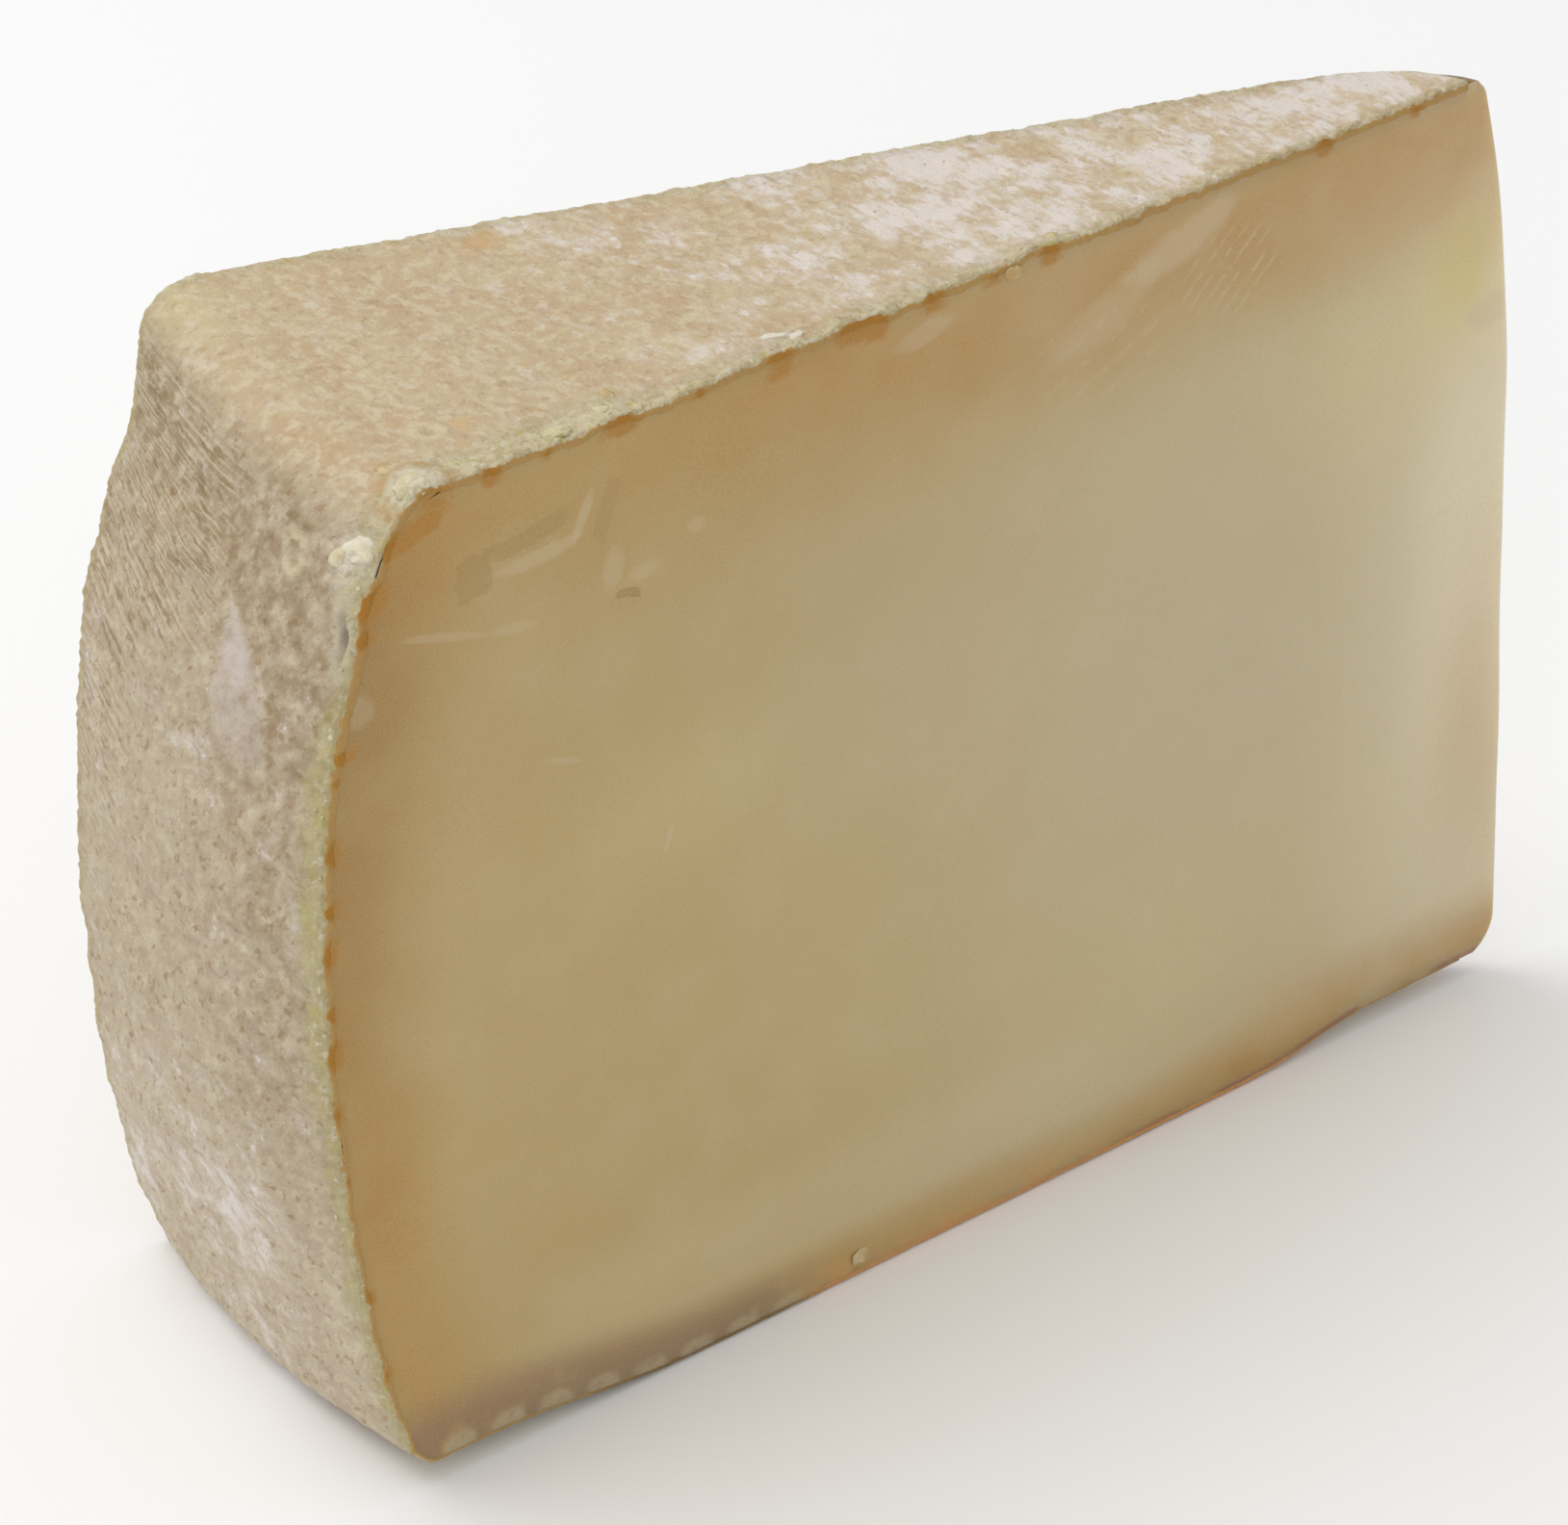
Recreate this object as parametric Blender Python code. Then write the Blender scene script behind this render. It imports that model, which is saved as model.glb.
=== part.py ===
"""A wedge of pressed cheese, cut from a round wheel and standing on its flat rind.

Units are metres and +Z is up. The bulging rim of the wheel faces -X, the blunt tip faces +X
and the broad cut face looks towards -Y. The origin is on the floor, under the middle of the
wedge's box.

The shape is worked out in the wheel's own terms first: x runs along the front cut from the
rim's fullest point towards the middle of the wheel, y runs from the front cut into the cheese.
"""

import math

import bmesh
import bpy
from mathutils import Vector, noise

# Whole wheel and the slice taken from it
HEIGHT = 0.080
WHEEL_RADIUS = 0.1222
WEDGE_ANGLE = math.radians(18.25)
# Directions into the cheese from its front cut and from its back cut
INTO_FRONT = Vector((0.0, 1.0, 0.0))
INTO_BACK = Vector((-math.sin(WEDGE_ANGLE), -math.cos(WEDGE_ANGLE), 0.0))

# Rim: a belly that is fullest at one height, flatter below it than above; front cut, back cut
BELLY_HEIGHT = (0.044, 0.034)
BELLY_CURVE_ABOVE = (0.108, 0.140)
BELLY_CURVE_BELOW = (0.150, 0.125)
TOP_EDGE_ROUND = (0.0052, 0.0030)
FOOT_EDGE_ROUND = 0.0022
# Shallow neck round the rim, just under its top edge
NECK_HEIGHT = (0.074, 0.069)
NECK_WIDTH = 0.005
NECK_DEPTH = (0.00045, 0.00075)

# Tip: it leans back as it rises, more so above the knee, and is rounded off at the back; its cut
# wavers a little up the height
TIP_REACH = 0.1134
TIP_LEAN = 0.041
TIP_KNEE_HEIGHT = 0.052
TIP_ROLL_BACK = 4.2
TIP_HEAD_ROUND = 0.0008
TIP_FOOT_ROUND = 0.0026
TIP_WAVER_SIZE = 0.013
TIP_WAVER = 0.00036
TIP_ROUND_LEAD = 0.0016
TIP_ROUND_LENGTH = 0.0130

# Underside: flat, but its front edge rises a little towards the rim and towards the tip; each
# rise runs between two distances from the rim and fades out towards the back cut
FOOT_RISE = 0.00165
RIM_RISE_BETWEEN = (0.032, 0.013)
TIP_RISE_BETWEEN = (0.087, 0.101)

# Relief of the rind: cloth bands round the rim, low swells, and the broken edge along each cut,
# whose depth and rise are shares of the mesh's first step in from the cut
BAND_PITCH = 0.0075
BAND_DEPTH = 0.00035
SWELL_SIZE = 0.011
SWELL_DEPTH = 0.00030
CRUMBLE_SIZE = 0.0021
CRUMBLE_DEPTH_SHARE = 0.50
CRUMBLE_RISE_SHARE = 0.34

# Crags along the front edge: distance from the rim, depth behind the cut, height, radius, rise
CRAGS = (
    (0.0092, 0.0014, 0.0795, 0.0024, 0.0013),
    (0.0036, 0.0018, 0.0735, 0.0020, 0.0012),
    (0.0262, 0.0016, 0.0800, 0.0020, 0.0009),
    (0.0468, 0.0010, 0.0800, 0.0018, 0.0008),
    (0.0634, 0.0002, 0.0796, 0.0017, 0.0007),
)
# Hollow where the rind has broken out just under the near corner: same order, sinking in
CHIP = (0.0080, 0.0000, 0.0752, 0.0026, 0.0010)

# Mesh: steps from rim to tip, from cut to cut and from floor to top, closer near the edges
STEPS_ALONG = 60
STEPS_ACROSS = 16
STEPS_UP = 36
EDGE_SQUEEZE = 0.55
SMOOTH_BELOW = math.radians(38)

# Finish
PASTE_COLOUR = (0.560, 0.440, 0.235, 1.0)
RIND_COLOUR = (0.560, 0.430, 0.290, 1.0)
PASTE_ROUGHNESS = 0.45
RIND_ROUGHNESS = 0.80


def mix(first, second, share):
    return first + (second - first) * share


def spread(step, steps):
    """Share of the way at a step, with the steps closer together near both ends."""
    share = step / steps
    return share - EDGE_SQUEEZE * math.sin(math.tau * share) / math.tau


def edge_inset(distance, radius):
    """Inset of a rounded edge at a distance from the flat that it runs into."""
    if distance >= radius:
        return 0.0
    return radius - math.sqrt(radius ** 2 - (radius - distance) ** 2)


def rim_inset(height, side):
    """Depth of the rim inside the wheel's radius; side is 0 at the front cut, 1 at the back."""
    rise = height - mix(*BELLY_HEIGHT, side)
    curve = mix(*(BELLY_CURVE_ABOVE if rise > 0 else BELLY_CURVE_BELOW), side)
    belly = curve - math.sqrt(curve ** 2 - rise ** 2)
    top_edge = edge_inset(HEIGHT - height, mix(*TOP_EDGE_ROUND, side))
    above_neck = (height - mix(*NECK_HEIGHT, side)) / NECK_WIDTH
    neck = mix(*NECK_DEPTH, side) * math.exp(-above_neck ** 2)
    return belly + neck + top_edge + edge_inset(height, FOOT_EDGE_ROUND)


def rim_point(height, side):
    radius = WHEEL_RADIUS - rim_inset(height, side)
    angle = WEDGE_ANGLE * side
    return Vector((WHEEL_RADIUS - radius * math.cos(angle), radius * math.sin(angle)))


def back_cut_point(distance):
    """Point on the back cut, at a distance from the rim measured along the front cut."""
    return Vector((distance, (WHEEL_RADIUS - distance) * math.tan(WEDGE_ANGLE)))


def tip_point(height, side):
    """Point on the tip's plan curve, which leaves the front cut and turns into the back cut."""
    reach = TIP_REACH - TIP_LEAN * height
    reach -= TIP_ROLL_BACK * max(0.0, height - TIP_KNEE_HEIGHT) ** 2
    reach -= edge_inset(HEIGHT - height, TIP_HEAD_ROUND) + edge_inset(height, TIP_FOOT_ROUND)
    place = Vector((side * TIP_ROUND_LENGTH, 0.0, height))
    reach += TIP_WAVER * ripple(place, TIP_WAVER_SIZE, 7.0)
    corner = Vector((reach, 0.0))
    lead = back_cut_point(reach - TIP_ROUND_LEAD)
    end = back_cut_point(reach - TIP_ROUND_LENGTH)
    return corner.lerp(lead, side).lerp(lead.lerp(end, side), side)


def eased(value, start, end):
    """Share of the way from start to end, held at 0 and 1 outside them and smooth between."""
    share = min(1.0, max(0.0, (value - start) / (end - start)))
    return share * share * (3.0 - 2.0 * share)


def underside_rise(point, across):
    """Height of the underside over the floor."""
    from_rim = WHEEL_RADIUS - math.hypot(WHEEL_RADIUS - point.x, point.y)
    rise = eased(from_rim, *RIM_RISE_BETWEEN) + eased(from_rim, *TIP_RISE_BETWEEN)
    return FOOT_RISE * rise * (1.0 - across) ** 2


def smooth_point(along, across, up):
    """Point of the wedge before its relief, from three shares between 0 and 1."""
    height = HEIGHT * up
    plan = rim_point(height, across).lerp(tip_point(height, across), along)
    rise = underside_rise(plan, across) * (1.0 - up)
    return Vector((plan.x, plan.y, height + rise))


def ripple(point, size, seed):
    """Smooth noise between about -1 and 1 whose bumps are as wide as size."""
    return noise.noise(point / size + Vector((seed, 2.3 * seed, 4.7 * seed)))


def rind_relief(point, outward, banded):
    """Move along the outward direction: low swells, and on the rim the bands of the cloth."""
    depth = SWELL_DEPTH * ripple(point, SWELL_SIZE, 11.0)
    if banded:
        flattened = Vector((point.x * 0.2, point.y * 0.2, point.z))
        depth += BAND_DEPTH * ripple(flattened, BAND_PITCH * 0.5, 23.0)
    return outward * depth


def crag_relief(point, outward):
    """Crags stand out from the rind near the front edge, and one chip sinks in under them."""
    total = Vector()
    for distance, depth, height, radius, rise in CRAGS:
        away = (point - Vector((distance, depth, height))).length / radius
        total += outward * rise * math.exp(-away ** 2)
    distance, depth, height, radius, sink = CHIP
    away = (point - Vector((distance, depth, height))).length / radius
    return total - outward * sink * math.exp(-away ** 2)


def broken_edge(point, outward, inward, next_point):
    """The rind's edge along a cut has crumbled: it is set back unevenly and rises and falls."""
    room = (next_point - point).dot(inward)
    set_back = CRUMBLE_DEPTH_SHARE * room * (0.5 + 0.5 * ripple(point, CRUMBLE_SIZE, 37.0))
    rise = CRUMBLE_RISE_SHARE * room * ripple(point, CRUMBLE_SIZE, 53.0)
    return inward * set_back + outward * rise


def grid_point(along, across, up):
    """Smooth point at a step of the grid."""
    return smooth_point(
        spread(along, STEPS_ALONG), spread(across, STEPS_ACROSS), spread(up, STEPS_UP))


def relief(point, step):
    """How far a point of the surface moves from the smooth shape."""
    along, across, up = step
    on_rim = along == 0
    on_top = up == STEPS_UP
    if not (on_rim or on_top):
        return Vector()
    radial = Vector((point.x - WHEEL_RADIUS, point.y, 0.0)).normalized()
    outward = ((radial if on_rim else Vector()) + Vector((0, 0, 1 if on_top else 0))).normalized()
    move = rind_relief(point, outward, on_rim)
    if up > 0:
        move += crag_relief(point, outward)
    if across == 0:
        move += broken_edge(point, outward, INTO_FRONT, grid_point(along, 1, up))
    if across == STEPS_ACROSS:
        move += broken_edge(point, outward, INTO_BACK, grid_point(along, across - 1, up))
    if up == 0:
        move.z = 0.0
    return move


def surface_steps():
    """Every grid step on the outside of the wedge."""
    for along in range(STEPS_ALONG + 1):
        for across in range(STEPS_ACROSS + 1):
            for up in range(STEPS_UP + 1):
                inside = 0 < along < STEPS_ALONG and 0 < across < STEPS_ACROSS and 0 < up < STEPS_UP
                if not inside:
                    yield along, across, up


def make_points(mesh):
    points = {}
    for step in surface_steps():
        place = grid_point(*step)
        points[step] = mesh.verts.new(place + relief(place, step))
    return points


def make_side(mesh, points, first, second, fixed, level, material):
    """One side of the grid: two directions run over it and the third stays at one level."""
    limits = (STEPS_ALONG, STEPS_ACROSS, STEPS_UP)
    for a in range(limits[first]):
        for b in range(limits[second]):
            corners = []
            for move_a, move_b in ((0, 0), (1, 0), (1, 1), (0, 1)):
                step = [0, 0, 0]
                step[first] = a + move_a
                step[second] = b + move_b
                step[fixed] = level
                corners.append(points[tuple(step)])
            mesh.faces.new(corners).material_index = material


def make_finish(name, colour, roughness):
    material = bpy.data.materials.new(name)
    material.use_nodes = True
    shader = material.node_tree.nodes["Principled BSDF"]
    shader.inputs["Base Color"].default_value = colour
    shader.inputs["Roughness"].default_value = roughness
    shader.inputs["Metallic"].default_value = 0.0
    material.diffuse_color = colour
    return material


def centre_on_floor(mesh):
    """Move the mesh so that its box stands centred on the origin."""
    lows = [min(v.co[i] for v in mesh.verts) for i in range(3)]
    highs = [max(v.co[i] for v in mesh.verts) for i in range(2)]
    middle = Vector(((lows[0] + highs[0]) / 2, (lows[1] + highs[1]) / 2, lows[2]))
    bmesh.ops.translate(mesh, verts=mesh.verts, vec=-middle)


def make_wedge():
    paste, rind = 0, 1
    mesh = bmesh.new()
    points = make_points(mesh)
    for level, material in ((0, rind), (STEPS_ALONG, paste)):
        make_side(mesh, points, 1, 2, 0, level, material)
    for level in (0, STEPS_ACROSS):
        make_side(mesh, points, 0, 2, 1, level, paste)
    for level in (0, STEPS_UP):
        make_side(mesh, points, 0, 1, 2, level, rind)
    centre_on_floor(mesh)
    bmesh.ops.triangulate(mesh, faces=mesh.faces, quad_method="SHORT_EDGE")
    bmesh.ops.recalc_face_normals(mesh, faces=mesh.faces)

    data = bpy.data.meshes.new("cheese_wedge")
    mesh.to_mesh(data)
    mesh.free()
    data.materials.append(make_finish("paste", PASTE_COLOUR, PASTE_ROUGHNESS))
    data.materials.append(make_finish("rind", RIND_COLOUR, RIND_ROUGHNESS))
    data.shade_smooth()
    data.set_sharp_from_angle(angle=SMOOTH_BELOW)
    wedge = bpy.data.objects.new("cheese_wedge", data)
    bpy.context.scene.collection.objects.link(wedge)
    return wedge


def clear_scene():
    for old in list(bpy.data.objects):
        bpy.data.objects.remove(old, do_unlink=True)


def main():
    clear_scene()
    make_wedge()


main()
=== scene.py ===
"""Blender add-on for a wedge cut from a round pressed cheese.

It dresses the wedge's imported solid: the paste with its smooth cut faces and knife marks, the
rind with its cloth ribs, bloom and crumbled lips, the crumbs along the cuts, and a pale studio.

Units are metres and +Z is up. The bulging rim of the wheel faces -X, the tip faces +X and the
broad cut face looks towards -Y. Shapes are worked out in the wheel's own terms first: x runs
along the front cut from the rim's fullest point, and y runs from the front cut into the cheese.
"""

import math

import bmesh
import bpy
import numpy as np
from bpy.props import FloatProperty, FloatVectorProperty, IntProperty, PointerProperty
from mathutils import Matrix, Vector, noise


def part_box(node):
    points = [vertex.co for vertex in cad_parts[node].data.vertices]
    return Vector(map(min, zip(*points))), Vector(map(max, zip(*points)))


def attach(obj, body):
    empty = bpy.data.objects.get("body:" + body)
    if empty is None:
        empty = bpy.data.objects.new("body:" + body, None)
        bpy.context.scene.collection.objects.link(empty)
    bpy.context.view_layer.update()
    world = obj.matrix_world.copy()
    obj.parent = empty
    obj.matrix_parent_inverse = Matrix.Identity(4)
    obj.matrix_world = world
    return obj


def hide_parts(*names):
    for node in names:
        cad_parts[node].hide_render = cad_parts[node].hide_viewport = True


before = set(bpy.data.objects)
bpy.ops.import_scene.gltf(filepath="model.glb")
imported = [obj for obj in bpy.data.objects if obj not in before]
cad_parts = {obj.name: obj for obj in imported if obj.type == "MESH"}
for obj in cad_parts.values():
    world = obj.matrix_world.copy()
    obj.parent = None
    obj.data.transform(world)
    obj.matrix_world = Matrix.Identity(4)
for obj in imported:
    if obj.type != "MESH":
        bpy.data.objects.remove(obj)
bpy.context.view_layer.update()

bl_info = {
    "name": "Cheese Wedge",
    "version": (1, 0, 0),
    "blender": (4, 5, 0),
    "location": "3D View > Sidebar > Cheese",
    "description": "Rind, paste, crumbs and studio for a wedge of pressed cheese",
    "category": "Object",
}

NODE = "cheese_wedge"

# Whole wheel and the slice taken from it
HEIGHT = 0.080
WHEEL_RADIUS = 0.1222
WEDGE_ANGLE = math.radians(18.25)
INTO_FRONT = np.array((0.0, 1.0, 0.0))
INTO_BACK = np.array((-math.sin(WEDGE_ANGLE), -math.cos(WEDGE_ANGLE), 0.0))

# Rim: a belly that is fullest at one height, flatter below it than above; front cut, back cut
BELLY_HEIGHT = (0.044, 0.034)
BELLY_CURVE_ABOVE = (0.108, 0.140)
BELLY_CURVE_BELOW = (0.150, 0.125)
TOP_EDGE_ROUND = (0.0052, 0.0030)
FOOT_EDGE_ROUND = 0.0022
# Shallow neck round the rim, just under its top edge
NECK_HEIGHT = (0.074, 0.069)
NECK_WIDTH = 0.005
NECK_DEPTH = (0.00045, 0.00075)

# Tip: it leans back as it rises, more so above the knee, and is rounded off at the back
TIP_REACH = 0.1134
TIP_LEAN = 0.041
TIP_KNEE_HEIGHT = 0.052
TIP_ROLL_BACK = 4.2
TIP_HEAD_ROUND = 0.0016
TIP_FOOT_ROUND = 0.0036
TIP_WAVER_SIZE = 0.013
TIP_WAVER = 0.00036
TIP_ROUND_LEAD = 0.0016
TIP_ROUND_LENGTH = 0.0130

# Ribs left by the cloth: their slope on the lower part of the rim, and how they close up above it
RIB_SLOPE = 0.20
RIB_CLOSER_ABOVE = 0.057
RIB_CLOSER_BY = 0.45

# Underside: flat, but its front edge rises a little towards the rim and towards the tip
FOOT_RISE = 0.00165
RIM_RISE_BETWEEN = (0.032, 0.013)
TIP_RISE_BETWEEN = (0.087, 0.101)

# Relief of the rind: cloth bands round the rim, low swells and the crumbled edge along each cut
BAND_PITCH = 0.0075
BAND_DEPTH = 0.00035
SWELL_SIZE = 0.011
SWELL_DEPTH = 0.00030
SWELL_KEPT_AT_BACK = 0.35
CRUMBLE_SIZE = 0.0021
CRUMBLE_RISE = 0.00018
CRUMBLE_SET_BACK = 0.00030
NIBBLE_SIZE = 0.0008
NIBBLE_RISE = 0.00016
NIBBLE_SET_BACK = 0.00030
SET_BACK_LEAST = 0.00012
BACK_CRUMBLE = 0.30

# Crags along the front edge: distance from the rim, depth behind the cut, height, radius, rise
CRAGS = (
    (0.0094, 0.0014, 0.0795, 0.0022, 0.0009),
    (0.0036, 0.0018, 0.0735, 0.0020, 0.0008),
    (0.0262, 0.0016, 0.0800, 0.0020, 0.0006),
    (0.0468, 0.0010, 0.0800, 0.0018, 0.0005),
    (0.0634, 0.0002, 0.0796, 0.0017, 0.0004),
)
# Hollow where the rind has broken out just under the near corner: same order, sinking in
CHIP = (0.0080, 0.0000, 0.0752, 0.0026, 0.0006)

# Mesh of the rind: size of its cells along its path, columns from cut to cut, steps of its lip
TOP_CELL = 0.00025
RIM_CELL = 0.00025
FOOT_CELL = 0.0013
RIND_COLUMNS = 84
LIP_STEPS = 6
LIP_SINK = 0.00012
LIP_REACH = 0.00140
LIP_ROUGH = 0.00003
LIP_PROUD = 0.00006
LOBE_PITCH = 0.0019
EDGE_SQUEEZE = 0.55

# Mesh of the paste: steps from rim to tip, from cut to cut and from floor to top
PASTE_STEPS = (250, 14, 160)
PASTE_EDGE_STEP = 0.012
PASTE_SKIN = 0.00032
# Between the cuts the hidden paste lies this much deeper, so that it never meets the rind
PASTE_HOLLOW = 0.0012
# Edges of the paste that turn by more than this are left crisp
PASTE_CREASE = math.radians(60.0)


def srgb(red, green, blue):
    """Linear colour of an 8-bit display colour."""
    shares = [value / 255.0 for value in (red, green, blue)]
    return tuple(c / 12.92 if c <= 0.04045 else ((c + 0.055) / 1.055) ** 2.4 for c in shares)


def mix(first, second, share):
    return first + (second - first) * share


def eased(value, start, end):
    """Share of the way from start to end, held at 0 and 1 outside them and smooth between."""
    share = np.clip((value - start) / (end - start), 0.0, 1.0)
    return share * share * (3.0 - 2.0 * share)


def hump(value, middle, width):
    """Bell curve that is 1 at its middle."""
    return np.exp(-((value - middle) / width) ** 2)


def glow(points, middle, width, radius=0.0):
    """Bell curve round a middle point, or round a ball when it has a radius."""
    return hump(np.linalg.norm(points - middle, axis=-1), radius, width)


def spread(steps):
    """Shares of the way, one for each step and one more, closer together near both ends."""
    share = np.linspace(0.0, 1.0, steps + 1)
    return share - EDGE_SQUEEZE * np.sin(math.tau * share) / math.tau


def edged(steps, first):
    """Shares of the way whose first and last steps are this narrow."""
    return np.concatenate(((0.0,), mix(first, 1.0 - first, spread(steps - 2)), (1.0,)))


def ripple(points, size, seed):
    """Smooth noise between about -1 and 1 at each point, whose bumps are as wide as size."""
    shift = Vector((seed, 2.3 * seed, 4.7 * seed))
    rows = (points / size).reshape(-1, 3)
    return np.array([noise.noise(Vector(row) + shift) for row in rows]).reshape(points.shape[:-1])


def unit(vectors):
    return vectors / np.linalg.norm(vectors, axis=-1, keepdims=True)


def stacked(*parts):
    """Points from their coordinates, each a number or an array."""
    return np.stack(np.broadcast_arrays(*parts), axis=-1)


# ---------------------------------------------------------------------------
# The wedge's form
# ---------------------------------------------------------------------------

def edge_inset(distance, radius):
    """Inset of a rounded edge at a distance from the flat that it runs into."""
    near = np.clip(distance, 0.0, radius)
    return radius - np.sqrt(radius ** 2 - (radius - near) ** 2)


def belly_inset(height, side):
    """Inset of the rim's belly and neck inside the wheel's radius; side is 0 front, 1 back."""
    rise = height - mix(*BELLY_HEIGHT, side)
    curve = np.where(rise > 0, mix(*BELLY_CURVE_ABOVE, side), mix(*BELLY_CURVE_BELOW, side))
    above_neck = (height - mix(*NECK_HEIGHT, side)) / NECK_WIDTH
    return curve - np.sqrt(curve ** 2 - rise ** 2) + mix(*NECK_DEPTH, side) * np.exp(-above_neck ** 2)


def rim_point(height, side, skin=0.0):
    top_edge = edge_inset(HEIGHT - skin - height, mix(*TOP_EDGE_ROUND, side) - skin)
    foot_edge = edge_inset(height - skin, FOOT_EDGE_ROUND - skin)
    radius = WHEEL_RADIUS - belly_inset(height, side) - top_edge - foot_edge - skin
    angle = WEDGE_ANGLE * side
    return stacked(WHEEL_RADIUS - radius * np.cos(angle), radius * np.sin(angle))


def rim_normal(points, side):
    """Direction out of the rim, turning upwards where the rim rounds into the top."""
    radial = unit((points - (WHEEL_RADIUS, 0.0, 0.0)) * (1.0, 1.0, 0.0))
    radius = mix(*TOP_EDGE_ROUND, side)
    rise = np.clip((points[..., 2] - HEIGHT + radius) / radius, 0.0, 1.0)[..., None]
    return radial * np.sqrt(1.0 - rise ** 2) + rise * (0.0, 0.0, 1.0)


def back_cut_point(distance):
    """Point on the back cut, at a distance from the rim measured along the front cut."""
    return stacked(distance, (WHEEL_RADIUS - distance) * math.tan(WEDGE_ANGLE))


def tip_point(height, side):
    """Point on the tip's plan curve, which leaves the front cut and turns into the back cut."""
    reach = TIP_REACH - TIP_LEAN * height
    reach = reach - TIP_ROLL_BACK * np.maximum(0.0, height - TIP_KNEE_HEIGHT) ** 2
    reach = reach - edge_inset(HEIGHT - height, TIP_HEAD_ROUND) - edge_inset(height, TIP_FOOT_ROUND)
    place = stacked(side * TIP_ROUND_LENGTH, 0.0, height)
    reach = reach + TIP_WAVER * ripple(place, TIP_WAVER_SIZE, 7.0)
    corner = stacked(reach, 0.0)
    lead = back_cut_point(reach - TIP_ROUND_LEAD)
    end = back_cut_point(reach - TIP_ROUND_LENGTH)
    share = np.asarray(side)[..., None]
    return mix(mix(corner, lead, share), mix(lead, end, share), share)


def underside_rise(plan, across):
    """Height of the underside over the floor."""
    from_rim = WHEEL_RADIUS - np.hypot(WHEEL_RADIUS - plan[..., 0], plan[..., 1])
    rise = eased(from_rim, *RIM_RISE_BETWEEN) + eased(from_rim, *TIP_RISE_BETWEEN)
    return FOOT_RISE * rise * (1.0 - across) ** 2


def wedge_point(along, across, up, skin=0.0):
    """Point of the wedge before its relief, from three shares; skin is a depth under the rind."""
    height = skin + (HEIGHT - 2.0 * skin) * up
    along, across, height, up = np.broadcast_arrays(along, across, height, up)
    plan = mix(rim_point(height, across, skin), tip_point(height, across), along[..., None])
    rise = underside_rise(plan, across) * (1.0 - up)
    return stacked(plan[..., 0], plan[..., 1], height + rise)


def crag_rise(points):
    """Crags stand out from the rind near the front edge, and one chip sinks in under them."""
    total = np.zeros(points.shape[:-1])
    for *place, radius, rise in CRAGS:
        total += rise * glow(points, place, radius)
    *place, radius, sink = CHIP
    return total - sink * glow(points, place, radius)


def surface_relief(points, on_rim):
    """How far the rind stands out of its smooth form: low swells, crags and the rim's bands."""
    banded = ripple(points * (0.2, 0.2, 1.0), 0.5 * BAND_PITCH, 23.0)
    kept = mix(SWELL_KEPT_AT_BACK, 1.0, eased(distance_to_cuts(points)[1], 0.0, 0.009))
    swell = SWELL_DEPTH * kept * ripple(points, SWELL_SIZE, 11.0)
    return swell + crag_rise(points) + on_rim * BAND_DEPTH * banded


def crumble_rise(points, kept):
    """Uneven height of the crumbled edge along the cuts."""
    coarse, fine = ripple(points, CRUMBLE_SIZE, 53.0), ripple(points, NIBBLE_SIZE, 57.0)
    return kept * (CRUMBLE_RISE * coarse + NIBBLE_RISE * fine)


def distance_to_cuts(points):
    """Distance of wheel points from the front cut and from the back cut."""
    plan = points[..., :2]
    to_back = (plan - (WHEEL_RADIUS, 0.0)) @ INTO_BACK[:2]
    return plan[..., 1], to_back


def wheel_to_scene():
    """Move from the wheel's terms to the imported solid's place."""
    low, high = (np.array(corner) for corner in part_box(NODE))
    foot = wedge_point(1.0, 0.0, np.linspace(0.0, 0.3, 61))
    return np.array((high[0] - foot[:, 0].max(), low[1], low[2]))


def rounded_depth(first, second, radius):
    """Depth under two faces that meet in a rounded edge, from the depths under each of them."""
    near = (first < radius) & (second < radius)
    in_round = radius - np.hypot(radius - first, radius - second)
    return np.where(near, in_round, np.minimum(first, second))


def depth_from_rim(points, side):
    """How far a point in the wheel's terms lies inside the rim."""
    radius = np.hypot(WHEEL_RADIUS - points[..., 0], points[..., 1])
    return WHEEL_RADIUS - belly_inset(points[..., 2], side) - radius


def depth_under_rind(points, side):
    """How far a point in the wheel's terms lies under the outside of the rind."""
    height, from_rim = points[..., 2], depth_from_rim(points, side)
    under_top = rounded_depth(HEIGHT - height, from_rim, mix(*TOP_EDGE_ROUND, side))
    over_floor = height - underside_rise(points[..., :2], side)
    return np.minimum(under_top, rounded_depth(over_floor, from_rim, FOOT_EDGE_ROUND))


# ---------------------------------------------------------------------------
# Meshes, modifiers and materials
# ---------------------------------------------------------------------------

def make_piece(name, points, faces, attributes):
    """Object from wheel points and faces, with one number per point for each attribute."""
    data = bpy.data.meshes.new(name)
    data.from_pydata((points + wheel_to_scene()).tolist(), [], faces)
    for label, values in attributes.items():
        layer = data.attributes.new(label, "FLOAT", "POINT")
        layer.data.foreach_set("value", np.asarray(values, dtype=np.float32))
    body = bmesh.new()
    body.from_mesh(data)
    bmesh.ops.recalc_face_normals(body, faces=body.faces)
    if body.calc_volume(signed=True) < 0.0:
        bmesh.ops.reverse_faces(body, faces=body.faces)
    body.to_mesh(data)
    body.free()
    data.shade_smooth()
    piece = bpy.data.objects.new(name, data)
    bpy.context.scene.collection.objects.link(piece)
    return piece


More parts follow.
